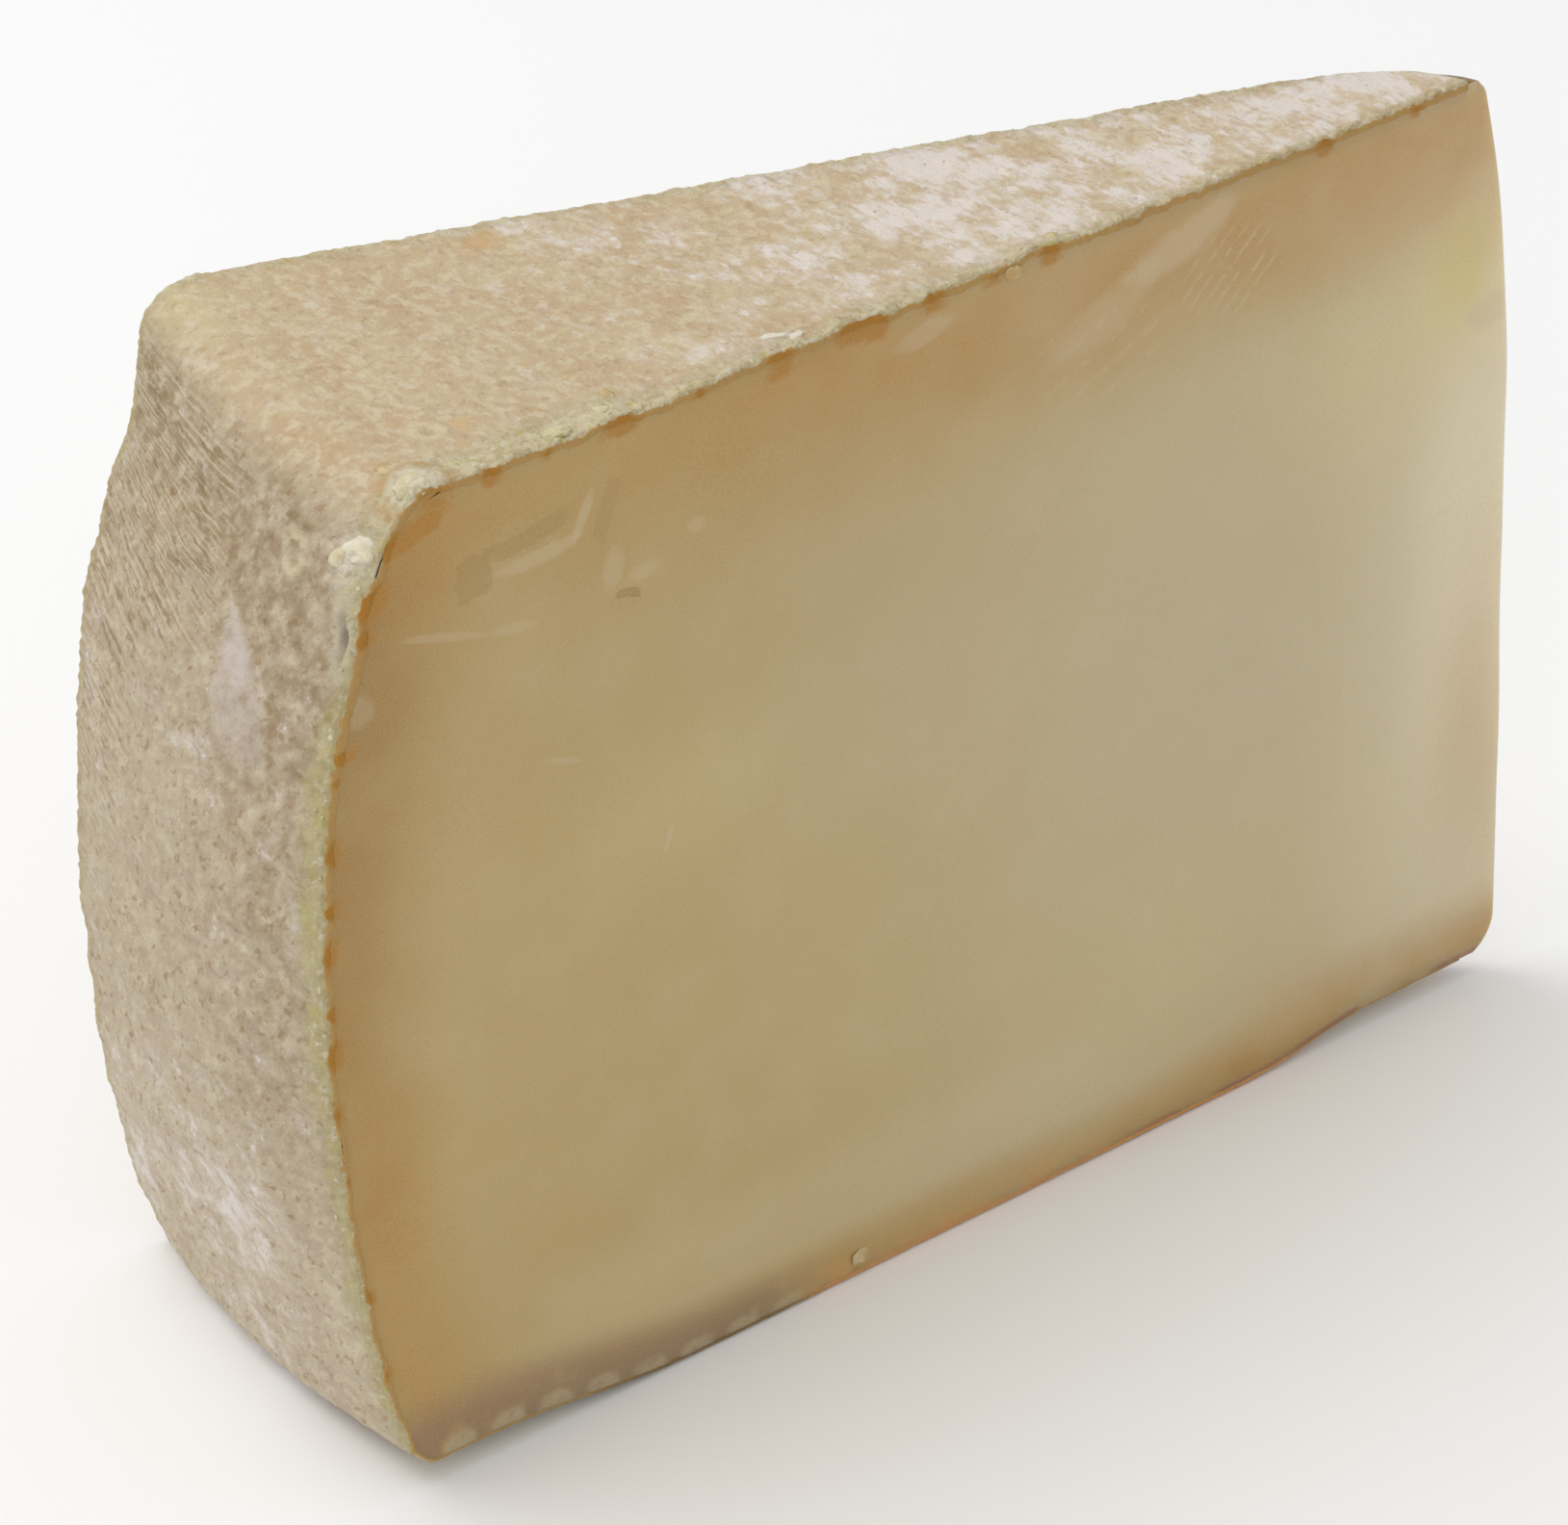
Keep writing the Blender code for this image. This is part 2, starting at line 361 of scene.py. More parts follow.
def apply_tree(piece, tree, values):
    """Give the piece the result of a node tree run with these inputs, as a plain mesh."""
    modifier = piece.modifiers.new(tree.name, "NODES")
    modifier.node_group = tree
    for item in tree.interface.items_tree:
        if item.item_type == "SOCKET" and item.in_out == "INPUT" and item.name in values:
            modifier[item.identifier] = values[item.name]
    graph = bpy.context.evaluated_depsgraph_get()
    data = bpy.data.meshes.new_from_object(piece.evaluated_get(graph))
    data.name = piece.name
    piece.modifiers.clear()
    piece.data = data


def rest_on_floor(piece):
    """Press whatever hangs below the floor up to it."""
    places = np.empty(len(piece.data.vertices) * 3, np.float32)
    piece.data.vertices.foreach_get("co", places)
    places[2::3] = np.maximum(places[2::3], 0.0)
    piece.data.vertices.foreach_set("co", places)
    piece.data.update()


class Tree:
    """A node tree being built; each method adds nodes and returns the socket that they end in."""

    def __init__(self, nodes, links):
        self.nodes = nodes
        self.links = links

    def add(self, kind, inputs=(), **settings):
        """Node with its settings, whose inputs are given by name or number."""
        node = self.nodes.new(kind)
        for label, value in settings.items():
            setattr(node, label, value)
        for label, value in dict(inputs).items():
            self.put(node.inputs[label], value)
        return node

    def put(self, socket, value):
        if isinstance(value, bpy.types.NodeSocket):
            self.links.new(value, socket)
        elif hasattr(socket.default_value, "__len__") and len(value) == 3 and socket.type == "RGBA":
            socket.default_value = (*value, 1.0)
        else:
            socket.default_value = value

    def maths(self, operation, first, second=0.0, third=0.0):
        node = self.add("ShaderNodeMath", {0: first, 1: second, 2: third}, operation=operation)
        return node.outputs[0]

    def times(self, first, second):
        return self.maths("MULTIPLY", first, second)

    def plus(self, first, second):
        return self.maths("ADD", first, second)

    def less(self, first, second):
        return self.maths("SUBTRACT", first, second)

    def scaled(self, value, by, plus):
        """Value times one number, plus another."""
        return self.maths("MULTIPLY_ADD", value, by, plus)

    def vector(self, operation, first, second=(0.0, 0.0, 0.0), scale=None):
        node = self.add("ShaderNodeVectorMath", {0: first, 1: second}, operation=operation)
        if scale is not None:
            self.put(node.inputs["Scale"], scale)
        return node.outputs["Vector"]

    def ramp(self, value, start, end):
        """0 up to start, 1 from end on, and smooth between them."""
        inputs = {"Value": value, "From Min": start, "From Max": end}
        node = self.add("ShaderNodeMapRange", inputs, interpolation_type="SMOOTHSTEP")
        return node.outputs["Result"]

    def grain(self, place, size, detail=2.0, seed=0.0, rough=0.55):
        """Noise between 0 and 1 whose grains are about as wide as size."""
        moved = self.vector("ADD", place, (seed, 0.7 * seed, 1.9 * seed))
        inputs = {"Vector": moved, "Scale": 1.0 / size, "Detail": detail, "Roughness": rough}
        return self.add("ShaderNodeTexNoise", inputs).outputs[0]

    def slanted(self, place):
        """Place drawn out across the rind and sheared, as the cloth lay a little askew on it."""
        parts = self.add("ShaderNodeSeparateXYZ", {0: place}).outputs
        inputs = {0: self.times(parts[0], 1.10), 1: self.times(parts[1], 0.75),
                  2: self.scaled(parts[1], 0.42, parts[2])}
        return self.add("ShaderNodeCombineXYZ", inputs).outputs[0]

    def dots(self, place, pitch, radius):
        """1 inside small dots, one near each corner of an uneven lattice, and 0 outside them."""
        inputs = {"Vector": place, "Scale": 1.0 / pitch}
        away = self.add("ShaderNodeTexVoronoi", inputs, feature="F1").outputs["Distance"]
        return self.ramp(away, radius / pitch, 0.5 * radius / pitch)


def new_group(name, numbers, counts=()):
    """Geometry Nodes tree with named inputs, the builder that fills it, and its input sockets."""
    tree = bpy.data.node_groups.new(name, "GeometryNodeTree")
    inputs = [("Geometry", "Geometry"), *((label, "Float") for label in numbers),
              *((label, "Int") for label in counts), ("Material", "Material")]
    for label, kind in inputs:
        tree.interface.new_socket(label, in_out="INPUT", socket_type="NodeSocket" + kind)
    tree.interface.new_socket("Geometry", in_out="OUTPUT", socket_type="NodeSocketGeometry")
    work = Tree(tree.nodes, tree.links)
    return tree, work, work.add("NodeGroupInput").outputs


class Finish(Tree):
    """A procedural material with one Principled shader."""

    def __init__(self, name):
        self.material = bpy.data.materials.new(name)
        self.material.use_nodes = True
        tree = self.material.node_tree
        super().__init__(tree.nodes, tree.links)
        self.shader = tree.nodes["Principled BSDF"]
        self.place = self.add("ShaderNodeTexCoord").outputs["Object"]
        self.waver = 0.0
        self.colour = None

    def stored(self, name):
        """Number stored on the mesh's points."""
        return self.add("ShaderNodeAttribute", attribute_name=name).outputs["Fac"]

    def tint(self, share, first, second):
        """Colour between two colours."""
        node = self.add("ShaderNodeMix", data_type="RGBA")
        self.put(node.inputs[0], share)
        self.put(node.inputs[6], first)
        self.put(node.inputs[7], second)
        return node.outputs[2]

    def coat(self, share, colour, strength=None):
        """Lay a colour over those laid so far, as thick as its share."""
        if strength is not None:
            share = self.times(share, strength)
        self.colour = self.tint(share, self.colour, colour)

    def turned(self, middle, half, turn):
        """Place across and up a mark on a cut face, each -1 to 1 between the mark's edges."""
        inputs = {"Vector": self.place, "Location": middle, "Rotation": (0.0, turn, 0.0), "Scale": half}
        mapped = self.add("ShaderNodeMapping", inputs, vector_type="TEXTURE").outputs[0]
        parts = self.add("ShaderNodeSeparateXYZ", {0: mapped}).outputs
        return parts[0], parts[2]

    def patch(self, middle, half, turn, bend, blocky):
        """1 inside a soft oval or block with wavering sides, which curves up at its ends by bend."""
        across, up = self.turned(middle, half, turn)
        level = self.scaled(self.times(across, across), -bend, up)
        if not blocky:
            squares = self.scaled(across, across, self.times(level, level))
            return self.ramp(self.scaled(self.waver, 1.1, squares), 1.25, 0.25)
        shares = []
        for way in (across, level):
            away = self.scaled(self.waver, 0.8, self.maths("ABSOLUTE", way))
            shares.append(self.ramp(away, 1.05, 0.80))
        return self.times(*shares)

    def strokes(self, middle, half, turn, pitch):
        """Thin parallel lines that fade out towards the sides of a mark."""
        across, up = self.turned(middle, (half[0], 1.0, half[1]), 0.0)
        squares = self.scaled(across, across, self.times(up, up))
        inside = self.ramp(squares, 1.0, 0.2)
        run, level = self.turned(middle, (1.0, 1.0, 1.0), turn)
        bent = self.scaled(self.waver, 0.0006, level)
        wave = self.maths("SINE", self.times(bent, math.tau / pitch))
        broken = self.ramp(self.waver, -0.10, 0.10)
        return self.times(inside, self.times(self.ramp(wave, 0.30, 0.95), broken))

    def finish(self, roughness, height, relief, subsurface, reach):
        """Join colour, roughness and a fine bump to the shader, with light let into the surface."""
        self.put(self.shader.inputs["Base Color"], self.colour)
        self.put(self.shader.inputs["Roughness"], roughness)
        inputs = {"Height": height, "Distance": relief, "Strength": 1.0}
        bump = self.add("ShaderNodeBump", inputs)
        self.put(self.shader.inputs["Normal"], bump.outputs[0])
        self.shader.inputs["Subsurface Weight"].default_value = subsurface
        self.shader.inputs["Subsurface Radius"].default_value = (1.0, 0.72, 0.45)
        self.shader.inputs["Subsurface Scale"].default_value = reach
        self.shader.inputs["Specular IOR Level"].default_value = 0.35
        return self.material


# ---------------------------------------------------------------------------
# Paste
# ---------------------------------------------------------------------------

# Soft fields of colour on the cut faces: distance from the rim and height, radii, strength
GREY = ((0.084, 0.036, 0.020, 0.024, 0.80), (0.050, 0.050, 0.016, 0.012, 0.35),
        (0.098, 0.012, 0.012, 0.010, 0.40))
BLUSH = ((0.072, 0.0760, 0.026, 0.0050, 0.32), (0.099, 0.0745, 0.009, 0.0050, 0.45),
         (0.092, 0.0065, 0.006, 0.0028, 0.35), (0.109, 0.0260, 0.004, 0.0110, 0.40),
         (0.012, 0.0560, 0.005, 0.0090, 0.20))
YELLOW = ((0.1060, 0.0650, 0.0040, 0.0060, 0.95), (0.098, 0.0600, 0.010, 0.0080, 0.45),
          (0.082, 0.0160, 0.020, 0.0110, 0.25),
          (0.030, 0.0480, 0.010, 0.0060, 0.20))
# Duller shade beside the rim: the same order
SHADE = ((0.0030, 0.0680, 0.0060, 0.0100, 0.42), (0.0020, 0.0470, 0.0050, 0.0160, 0.30),
         (0.0400, 0.0620, 0.0300, 0.0120, 0.08))
# Amber patches where the rind meets the front cut, along its top and down its rim side: distance
# from the rim or height, half size, reach under the rind's outside, strength
AMBER_TOP = ((0.0105, 0.0020, 0.0027, 0.55), (0.0153, 0.0009, 0.0018, 0.95),
             (0.0200, 0.0006, 0.0015, 0.60), (0.0262, 0.0018, 0.0019, 0.85),
             (0.0330, 0.0008, 0.0015, 0.60), (0.0401, 0.0014, 0.0025, 0.80),
             (0.0463, 0.0014, 0.0019, 0.80), (0.0487, 0.0012, 0.0025, 1.00),
             (0.0539, 0.0012, 0.0020, 0.85), (0.0592, 0.0010, 0.0017, 0.55),
             (0.0646, 0.0010, 0.0019, 0.90), (0.0730, 0.0007, 0.0015, 0.40),
             (0.0910, 0.0010, 0.0018, 0.90), (0.1001, 0.0010, 0.0017, 0.60))
AMBER_RIM = ((0.0770, 0.0010, 0.0037, 1.00), (0.0734, 0.0012, 0.0025, 1.00),
             (0.0709, 0.0007, 0.0020, 0.90), (0.0626, 0.0005, 0.0025, 1.00),
             (0.0609, 0.0004, 0.0017, 0.60), (0.0554, 0.0011, 0.0017, 0.90),
             (0.0511, 0.0007, 0.0019, 0.90), (0.0476, 0.0013, 0.0017, 0.80),
             (0.0430, 0.0009, 0.0016, 0.80), (0.0396, 0.0013, 0.0019, 0.90),
             (0.0346, 0.0009, 0.0017, 0.70), (0.0290, 0.0006, 0.0015, 0.50),
             (0.0186, 0.0009, 0.0017, 0.75), (0.0113, 0.0008, 0.0017, 0.60))
# How golden the left half is and how pale the right end is, by distance from the rim; the pale end is partly
# the paste's own tone and partly painted light
GOLD_BETWEEN = (0.096, 0.018)
PALE_BETWEEN = (0.088, 0.1085)
# Strip of painted backlight at the thin tip, as if the light shone through it
BACKLIT_TIP_STRIP = (0.0990, 0.1080)
# Marks on the front cut: distance from the rim and height, half sizes, turn in degrees, bend,
# strength
DARK_SMEARS = (
    (0.0136, 0.0723, 0.0016, 0.0017, -4, 0.0, 0.45),
    (0.0183, 0.0736, 0.0036, 0.0008, -8, 0.4, 0.38),
    (0.0249, 0.0735, 0.0007, 0.0026, 20, 0.0, 0.26),
    (0.0268, 0.0662, 0.0012, 0.0004, 16, -0.2, 0.60),
)
PALE_SMEARS = (
    (0.0190, 0.0718, 0.0040, 0.0007, -4, 0.5, 0.36),
    (0.0229, 0.0736, 0.0022, 0.0005, -64, 0.2, 0.40),
    (0.0254, 0.0687, 0.0010, 0.0019, 10, 0.0, 0.30),
    (0.0281, 0.0675, 0.0015, 0.0007, 4, 0.2, 0.24),
    (0.0168, 0.0672, 0.0023, 0.0005, 10, 0.2, 0.26),
    (0.0112, 0.0686, 0.0042, 0.0004, 17, 0.0, 0.26),
    (0.0208, 0.0552, 0.0018, 0.0003, 20, 0.0, 0.26),
    (0.0300, 0.0453, 0.0003, 0.0011, 15, 0.0, 0.36),
    (0.0327, 0.0694, 0.0009, 0.0007, 0, 0.0, 0.26),
    (0.0040, 0.0655, 0.0012, 0.0014, 0, 0.0, 0.25),
    (0.0775, 0.0762, 0.0060, 0.0018, -18, 0.3, 0.42),
    (0.0702, 0.0728, 0.0062, 0.0020, -24, 0.2, 0.30),
    (0.0531, 0.0771, 0.0030, 0.0010, -10, 0.0, 0.30),
    (0.1090, 0.0600, 0.0030, 0.0016, -10, 0.3, 0.40),
)
# Strokes of the knife near the top, in sets of thin slanting lines: middle, half sizes, turn,
# pitch, strength
STROKES = (
    (0.0820, 0.0722, 0.0060, 0.0045, -42, 0.0011, 0.45),
    (0.0700, 0.0700, 0.0080, 0.0050, -24, 0.0019, 0.25),
)
# Row of pale half-round marks along the foot of the front cut
SCALLOP_START = 0.01035
SCALLOP_PITCH = 0.00435
SCALLOP_COUNT = 8
SCALLOP_HALF = 0.00172
SCALLOP_TALL = 0.00205
SCALLOP_RISE = 0.00012
# Slow waves that the knife leaves on both cuts, and the small pit in the front one
WAVE_SIZE = 0.010
WAVE_DEPTH = 0.00007
PIT_MIDDLE = (0.0268, 0.0661)
PIT_HALF = (0.0013, 0.0006)
PIT_DEPTH = 0.00030
# How strongly the knife's marks show on the back cut
BACK_MARKS = 0.6


def box_surface(steps):
    """Which points of a grid box are on its outside, and the faces between them by number."""
    outside = np.zeros([count + 1 for count in steps], dtype=bool)
    for axis in range(3):
        sheets = np.moveaxis(outside, axis, 0)
        sheets[0] = sheets[-1] = True
    number = np.full(outside.shape, -1)
    number[outside] = np.arange(outside.sum())
    faces = []
    for axis in range(3):
        for level in (0, -1):
            sheet = np.take(number, level, axis=axis)
            corners = (sheet[:-1, :-1], sheet[1:, :-1], sheet[1:, 1:], sheet[:-1, 1:])
            faces.extend(np.stack(corners, axis=-1).reshape(-1, 4).tolist())
    return outside, faces


def field_share(x, z, fields):
    """Sum of soft oval fields on a cut face, at most 1."""
    total = sum(strength * hump(np.hypot((x - middle) / wide, (z - height) / tall), 0.0, 1.0)
                for middle, height, wide, tall, strength in fields)
    return np.minimum(total, 1.0)


def amber_share(x, z, depth):
    """Amber patches that run along the edge of the front cut and reach a short way down from it."""
    total = np.zeros_like(x)
    beside_rim = (z < 0.0785) & (x < 0.0110)
    for marks, run, near in ((AMBER_TOP, x, z > 0.0765), (AMBER_RIM, z, beside_rim)):
        for place, half, reach, strength in marks:
            share = strength * hump(run, place, half) * (1.0 - eased(depth, 0.55 * reach, reach))
            total += share * near
    return np.minimum(total, 1.0)


def scallop_share(x, over_floor):
    """1 inside the half-round marks that stand on the foot of the front cut, fainter to the right."""
    place = (x - SCALLOP_START) / SCALLOP_PITCH
    nearest = np.clip(np.round(place), 0, SCALLOP_COUNT - 1)
    across = (place - nearest) * SCALLOP_PITCH / SCALLOP_HALF
    tall = SCALLOP_TALL * (1.0 - 0.04 * nearest)
    away = (np.abs(across) ** 3.0 + (over_floor / tall) ** 3.0) ** (1.0 / 3.0)
    return (1.0 - eased(away, 0.72, 1.04)) * (1.0 - 0.04 * nearest)


def tan_share(x, height, from_rim, over_floor):
    """Tan bands of the cut: broad under the top, narrower beside the rim and along the foot."""
    from_top = HEIGHT - height
    top = mix(0.50, 0.68, eased(x, 0.026, 0.046)) * (1.0 - eased(from_top, 0.0025, 0.0190))
    rim = 0.72 * (1.0 - eased(from_rim, 0.0015, 0.0120))
    tall = mix(0.0125, 0.0058, eased(x, 0.008, 0.018)) + 0.0020 * eased(x, 0.070, 0.090)
    strong = np.interp(x, (0.008, 0.018, 0.038, 0.045, 0.068, 0.088), (0.42, 0.10, 0.10, 0.55, 0.55, 0.75))
    foot = strong * (1.0 - eased(over_floor, 0.0010, tall))
    return 1.0 - (1.0 - top) * (1.0 - rim) * (1.0 - foot)


def paleness_and_painted_light(x, z, over_floor):
    """Paler parts of the cut: its tip end, partly the paste's own tone and partly painted light, with a strip
    of painted backlight at the thin tip; and a low zone over the foot band, painted lighter to make up for
    the floor's shade.
    """
    tip = 0.62 * eased(x, *PALE_BETWEEN) + 0.40 * eased(x, *BACKLIT_TIP_STRIP) * eased(z, 0.016, 0.030)
    # painted light: the low zone over the foot band is lightened to make up for the floor's shade
    low = eased(over_floor, 0.0030, 0.0056) * eased(over_floor, 0.0150, 0.0085)
    return tip + 0.19 * low * eased(x, 0.014, 0.024) * eased(x, 0.082, 0.066)


def foot_share(x, over_floor):
    """Brown band along the foot of the cut, tallest near the rim and gone past the middle."""
    tall = mix(0.0072, 0.0052, eased(x, 0.010, 0.040))
    return (1.0 - eased(over_floor, 0.30 * tall, tall)) * (1.0 - eased(x, 0.037, 0.046))


def cut_relief(points, depth, over_floor, on_front):
    """How far a point of a cut face stands out of its plane."""
    x, z = points[:, 0], points[:, 2]
    out = WAVE_DEPTH * ripple(points, WAVE_SIZE, 3.0) * eased(depth, 0.0008, 0.0030)
    pit = hump(np.hypot((x - PIT_MIDDLE[0]) / PIT_HALF[0], (z - PIT_MIDDLE[1]) / PIT_HALF[1]), 0.0, 1.0)
    marks = SCALLOP_RISE * scallop_share(x, over_floor) - PIT_DEPTH * pit
    return out + np.where(on_front, marks, 0.0)


def paste_material(colours):
    look = Finish("cheese_paste")
    place = look.place
    depth = look.stored("depth")
    knife = look.stored("knife")
    over_floor = look.stored("over_floor")
    shift = wheel_to_scene()

    def cloud(size, detail, seed, low, high, strength):
        return look.times(look.ramp(look.grain(place, size, detail, seed), low, high), strength)

    def on_cuts(share, strength):
        return look.times(look.times(share, knife), strength)

    def marked(smears, colour, blocky):
        for x, z, wide, tall, turn, bend, strength in smears:
            middle = (x + shift[0], shift[1], z + shift[2])
            patch = look.patch(middle, (wide, 1.0, tall), math.radians(turn), bend, blocky)
            look.coat(on_cuts(patch, strength), colour)

    # heart of the cheese, from golden on the left to pale at the tip; the pale field is partly painted light
    # there and over the foot band
    look.colour = colours.paste
    look.coat(look.stored("gold"), colours.paste_gold)
    for label in ("grey", "pale", "yellow"):
        look.coat(look.stored(label), getattr(colours, "paste_" + label))
    look.coat(cloud(0.014, 3.0, 14.0, 0.38, 0.66, 0.10), colours.paste_grey)
    look.coat(cloud(0.0070, 2.0, 15.0, 0.40, 0.80, 0.08), colours.paste_pale)

    # tan towards the rind, with wandering borders, and amber in patches right beside it
    warp = look.less(look.grain(place, 0.0085, 4.0, 4.0), 0.5)
    uneven = look.scaled(warp, 1.5, 1.0)
    look.coat(look.times(look.stored("tan"), uneven), colours.paste_tan)
    look.coat(look.stored("blush"), colours.paste_blush)
    look.coat(look.times(look.stored("shade"), uneven), colours.paste_shade)
    ragged = look.plus(look.stored("amber"), look.grain(place, 0.0009, 3.0, 9.0, 0.60))
    look.coat(look.ramp(ragged, 0.62, 1.25), colours.amber, 0.90)
    teeth = look.grain(look.vector("MULTIPLY", place, (0.45, 1.0, 1.0)), 0.0008, 3.0, 12.0, 0.60)
    brim = look.times(look.ramp(depth, 0.0012, 0.0005), look.ramp(teeth, 0.46, 0.64))
    look.coat(brim, colours.amber, 0.30)

    # brown foot, its pale half-rounds, orange past the middle, painted lighter to make up for the floor's
    # shade, and a reddish line near the tip
    foot = look.times(look.stored("foot"), cloud(0.0035, 3.0, 20.0, 0.20, 0.50, 0.85))
    look.coat(foot, colours.foot)
    marks = look.times(look.stored("marks"), cloud(0.0013, 3.0, 21.0, 0.20, 0.52, 0.85))
    look.coat(marks, colours.marks)
    sole = look.ramp(over_floor, 0.0030, 0.0004)
    sole = look.times(sole, cloud(0.0022, 3.0, 22.0, 0.30, 0.60, 0.80))
    look.coat(look.times(sole, look.stored("orange")), colours.foot_orange)
    red = look.times(look.ramp(over_floor, 0.0010, 0.0005), look.stored("red"))
    broken = look.ramp(look.grain(place, 0.0040, 3.0, 33.0), 0.40, 0.60)
    look.coat(look.times(red, broken), colours.sole_red)

    # marks and strokes that the knife has left
    look.waver = look.less(look.grain(place, 0.0013, 3.0, 60.0), 0.5)
    marked(DARK_SMEARS, colours.paste_dark, True)
    marked(PALE_SMEARS, colours.paste_smear, False)
    for x, z, wide, tall, turn, pitch, strength in STROKES:
        middle = (x + shift[0], shift[1], z + shift[2])
        strokes = look.strokes(middle, (wide, tall), math.radians(turn), pitch)
        look.coat(on_cuts(strokes, strength), colours.paste_smear)
    look.coat(cloud(0.00016, 2.0, 1.0, 0.35, 0.75, 0.13), colours.paste_pale)
    look.coat(cloud(0.00019, 2.0, 2.0, 0.35, 0.75, 0.13), colours.paste_tan)

    roughness = look.scaled(look.grain(place, 0.003, 3.0, 6.0), 0.16, 0.38)
    fine = look.times(look.grain(place, 0.00024, 2.0, 2.0), 0.35)
    height = look.plus(fine, look.grain(place, 0.0026, 3.0, 5.0))
    return look.finish(roughness, height, 0.000030, 0.25, 0.0022)


class CHEESE_OT_paste(bpy.types.Operator):
    """Make the paste: the two cut faces, the blunt tip and the body under the rind"""

    bl_idname = "cheese.paste"
    bl_label = "Make Paste"

    def execute(self, context):
        outside, faces = box_surface(PASTE_STEPS)
        long, wide, tall = PASTE_STEPS
        steps = (spread(long), edged(wide, PASTE_EDGE_STEP), spread(tall))
        along, across, up = (share[outside] for share in np.meshgrid(*steps, indexing="ij"))
        hidden = (across > 0.0) & (across < 1.0) & (along < 1.0)
        points = wedge_point(along, across, up, PASTE_SKIN + PASTE_HOLLOW * hidden)
        on_front = (across == 0.0) & (along < 1.0)
        on_back = (across == 1.0) & (along < 1.0)

        under_rim = (along == 0.0) & (up > 0.0)
        under_top = (up == 1.0) & ~under_rim
        relief = surface_relief(points, 1.0 * under_rim)
        relief += crumble_rise(points, np.where(on_front, 1.0, BACK_CRUMBLE))
        relief = np.where(hidden, np.minimum(relief, 0.0), relief)
        points[under_top, 2] += relief[under_top]
        points[under_rim] += (rim_normal(points, across) * relief[:, None])[under_rim]

        depth = depth_under_rind(points, across)
        over_floor = points[:, 2] - underside_rise(points[:, :2], across)
        out = cut_relief(points, depth, over_floor, on_front)
        inner = (up > 0.0) & (up < 1.0) & (along > 0.0)
        points[on_front & inner] -= out[on_front & inner, None] * INTO_FRONT
        points[on_back & inner] -= out[on_back & inner, None] * INTO_BACK

        x, z = points[:, 0], points[:, 2]
        attributes = {
            "depth": depth,
            "knife": on_front + BACK_MARKS * on_back,
            "gold": eased(x, *GOLD_BETWEEN),
            "grey": field_share(x, z, GREY),
            "blush": field_share(x, z, BLUSH),
            "yellow": field_share(x, z, YELLOW),
            "tan": tan_share(x, z, depth_from_rim(points, across), over_floor),
            "shade": field_share(x, z, SHADE),
            "amber": amber_share(x, z, depth),
            "pale": paleness_and_painted_light(x, z, over_floor),
            "over_floor": over_floor,
            "orange": 0.9 * eased(x, 0.040, 0.046) * eased(x, 0.076, 0.068),
            "red": 0.8 * eased(x, 0.072, 0.080),
            "foot": foot_share(x, over_floor),
            "marks": scallop_share(x, over_floor) * on_front,
        }
        paste = make_piece("paste", points, faces, attributes)
        paste.data.set_sharp_from_angle(angle=PASTE_CREASE)
        rest_on_floor(paste)
        paste.data.materials.append(paste_material(context.scene.cheese_colours))
        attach(paste, "root")
        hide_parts(NODE)
        return {"FINISHED"}


# ---------------------------------------------------------------------------
# Rind
# ---------------------------------------------------------------------------

# Lumps of the front edge: distance from the rim, depth behind the cut, height; radii; turn in
# degrees; tone, from -1 ochre through 0 cream to 1 white
LUMPS = (
    # white crumb standing on the corner of the rim
    ((0.0062, 0.0020, 0.0761), (0.0013, 0.0015, 0.0009), 10, 0.6),
    ((0.0061, 0.0034, 0.0752), (0.0011, 0.0012, 0.0008), 40, 0.2),
    # cream lobe on the near corner, with a yellow one behind it
    ((0.0096, 0.0010, 0.0802), (0.0014, 0.0010, 0.0008), 10, 0.3),
    ((0.0112, 0.0011, 0.0800), (0.0011, 0.0009, 0.0006), 35, 0.1),
    ((0.0100, 0.0040, 0.0797), (0.0008, 0.0012, 0.0005), 10, -0.6),
    # crumbs further along the top edge
    ((0.0216, 0.0010, 0.0799), (0.0011, 0.0007, 0.0004), 5, 0.1),
    ((0.0256, 0.0014, 0.0799), (0.0010, 0.0007, 0.0005), 40, 0.0),
    ((0.0272, 0.0026, 0.0799), (0.0010, 0.0006, 0.0004), 60, -0.5),
    ((0.0411, 0.0020, 0.0800), (0.0012, 0.0004, 0.0003), -20, 1.0),
    ((0.0425, 0.0012, 0.0799), (0.0008, 0.0005, 0.0004), 20, 0.6),
    ((0.0474, 0.0011, 0.0798), (0.0009, 0.0006, 0.0004), 55, -0.4),
    ((0.0612, 0.0002, 0.0792), (0.0010, 0.0005, 0.0007), 10, -0.75),
    ((0.0655, 0.0008, 0.0799), (0.0009, 0.0006, 0.0004), 30, -0.5),
    ((0.0812, 0.0007, 0.0798), (0.0008, 0.0005, 0.0004), 30, 0.2),
    # whitish crumb at the foot of the front cut
    ((0.0478, 0.0001, 0.0016), (0.0008, 0.0004, 0.0007), 15, -0.4),
)
LUMP_ROUGHNESS = 0.36
# Size of the finest grain that the rind's colours show
FINEST = 0.00012
# Spot of the rim beside the front cut, sunk in and painted grey as the shade in its hollow: arc from the cut
# and height, half sizes
SLOT = (0.0013, 0.0709, 0.00042, 0.0016)
SLOT_SINK = 0.00045
HALO_WIDER = 2.1
# Rings of the rind: middle, radius, half width, rise
RINGS = (((0.0053, 0.0081, 0.0736), 0.0012, 0.00045, 0.00030),
         ((0.0149, 0.0063, 0.0800), 0.0010, 0.00050, 0.00030))
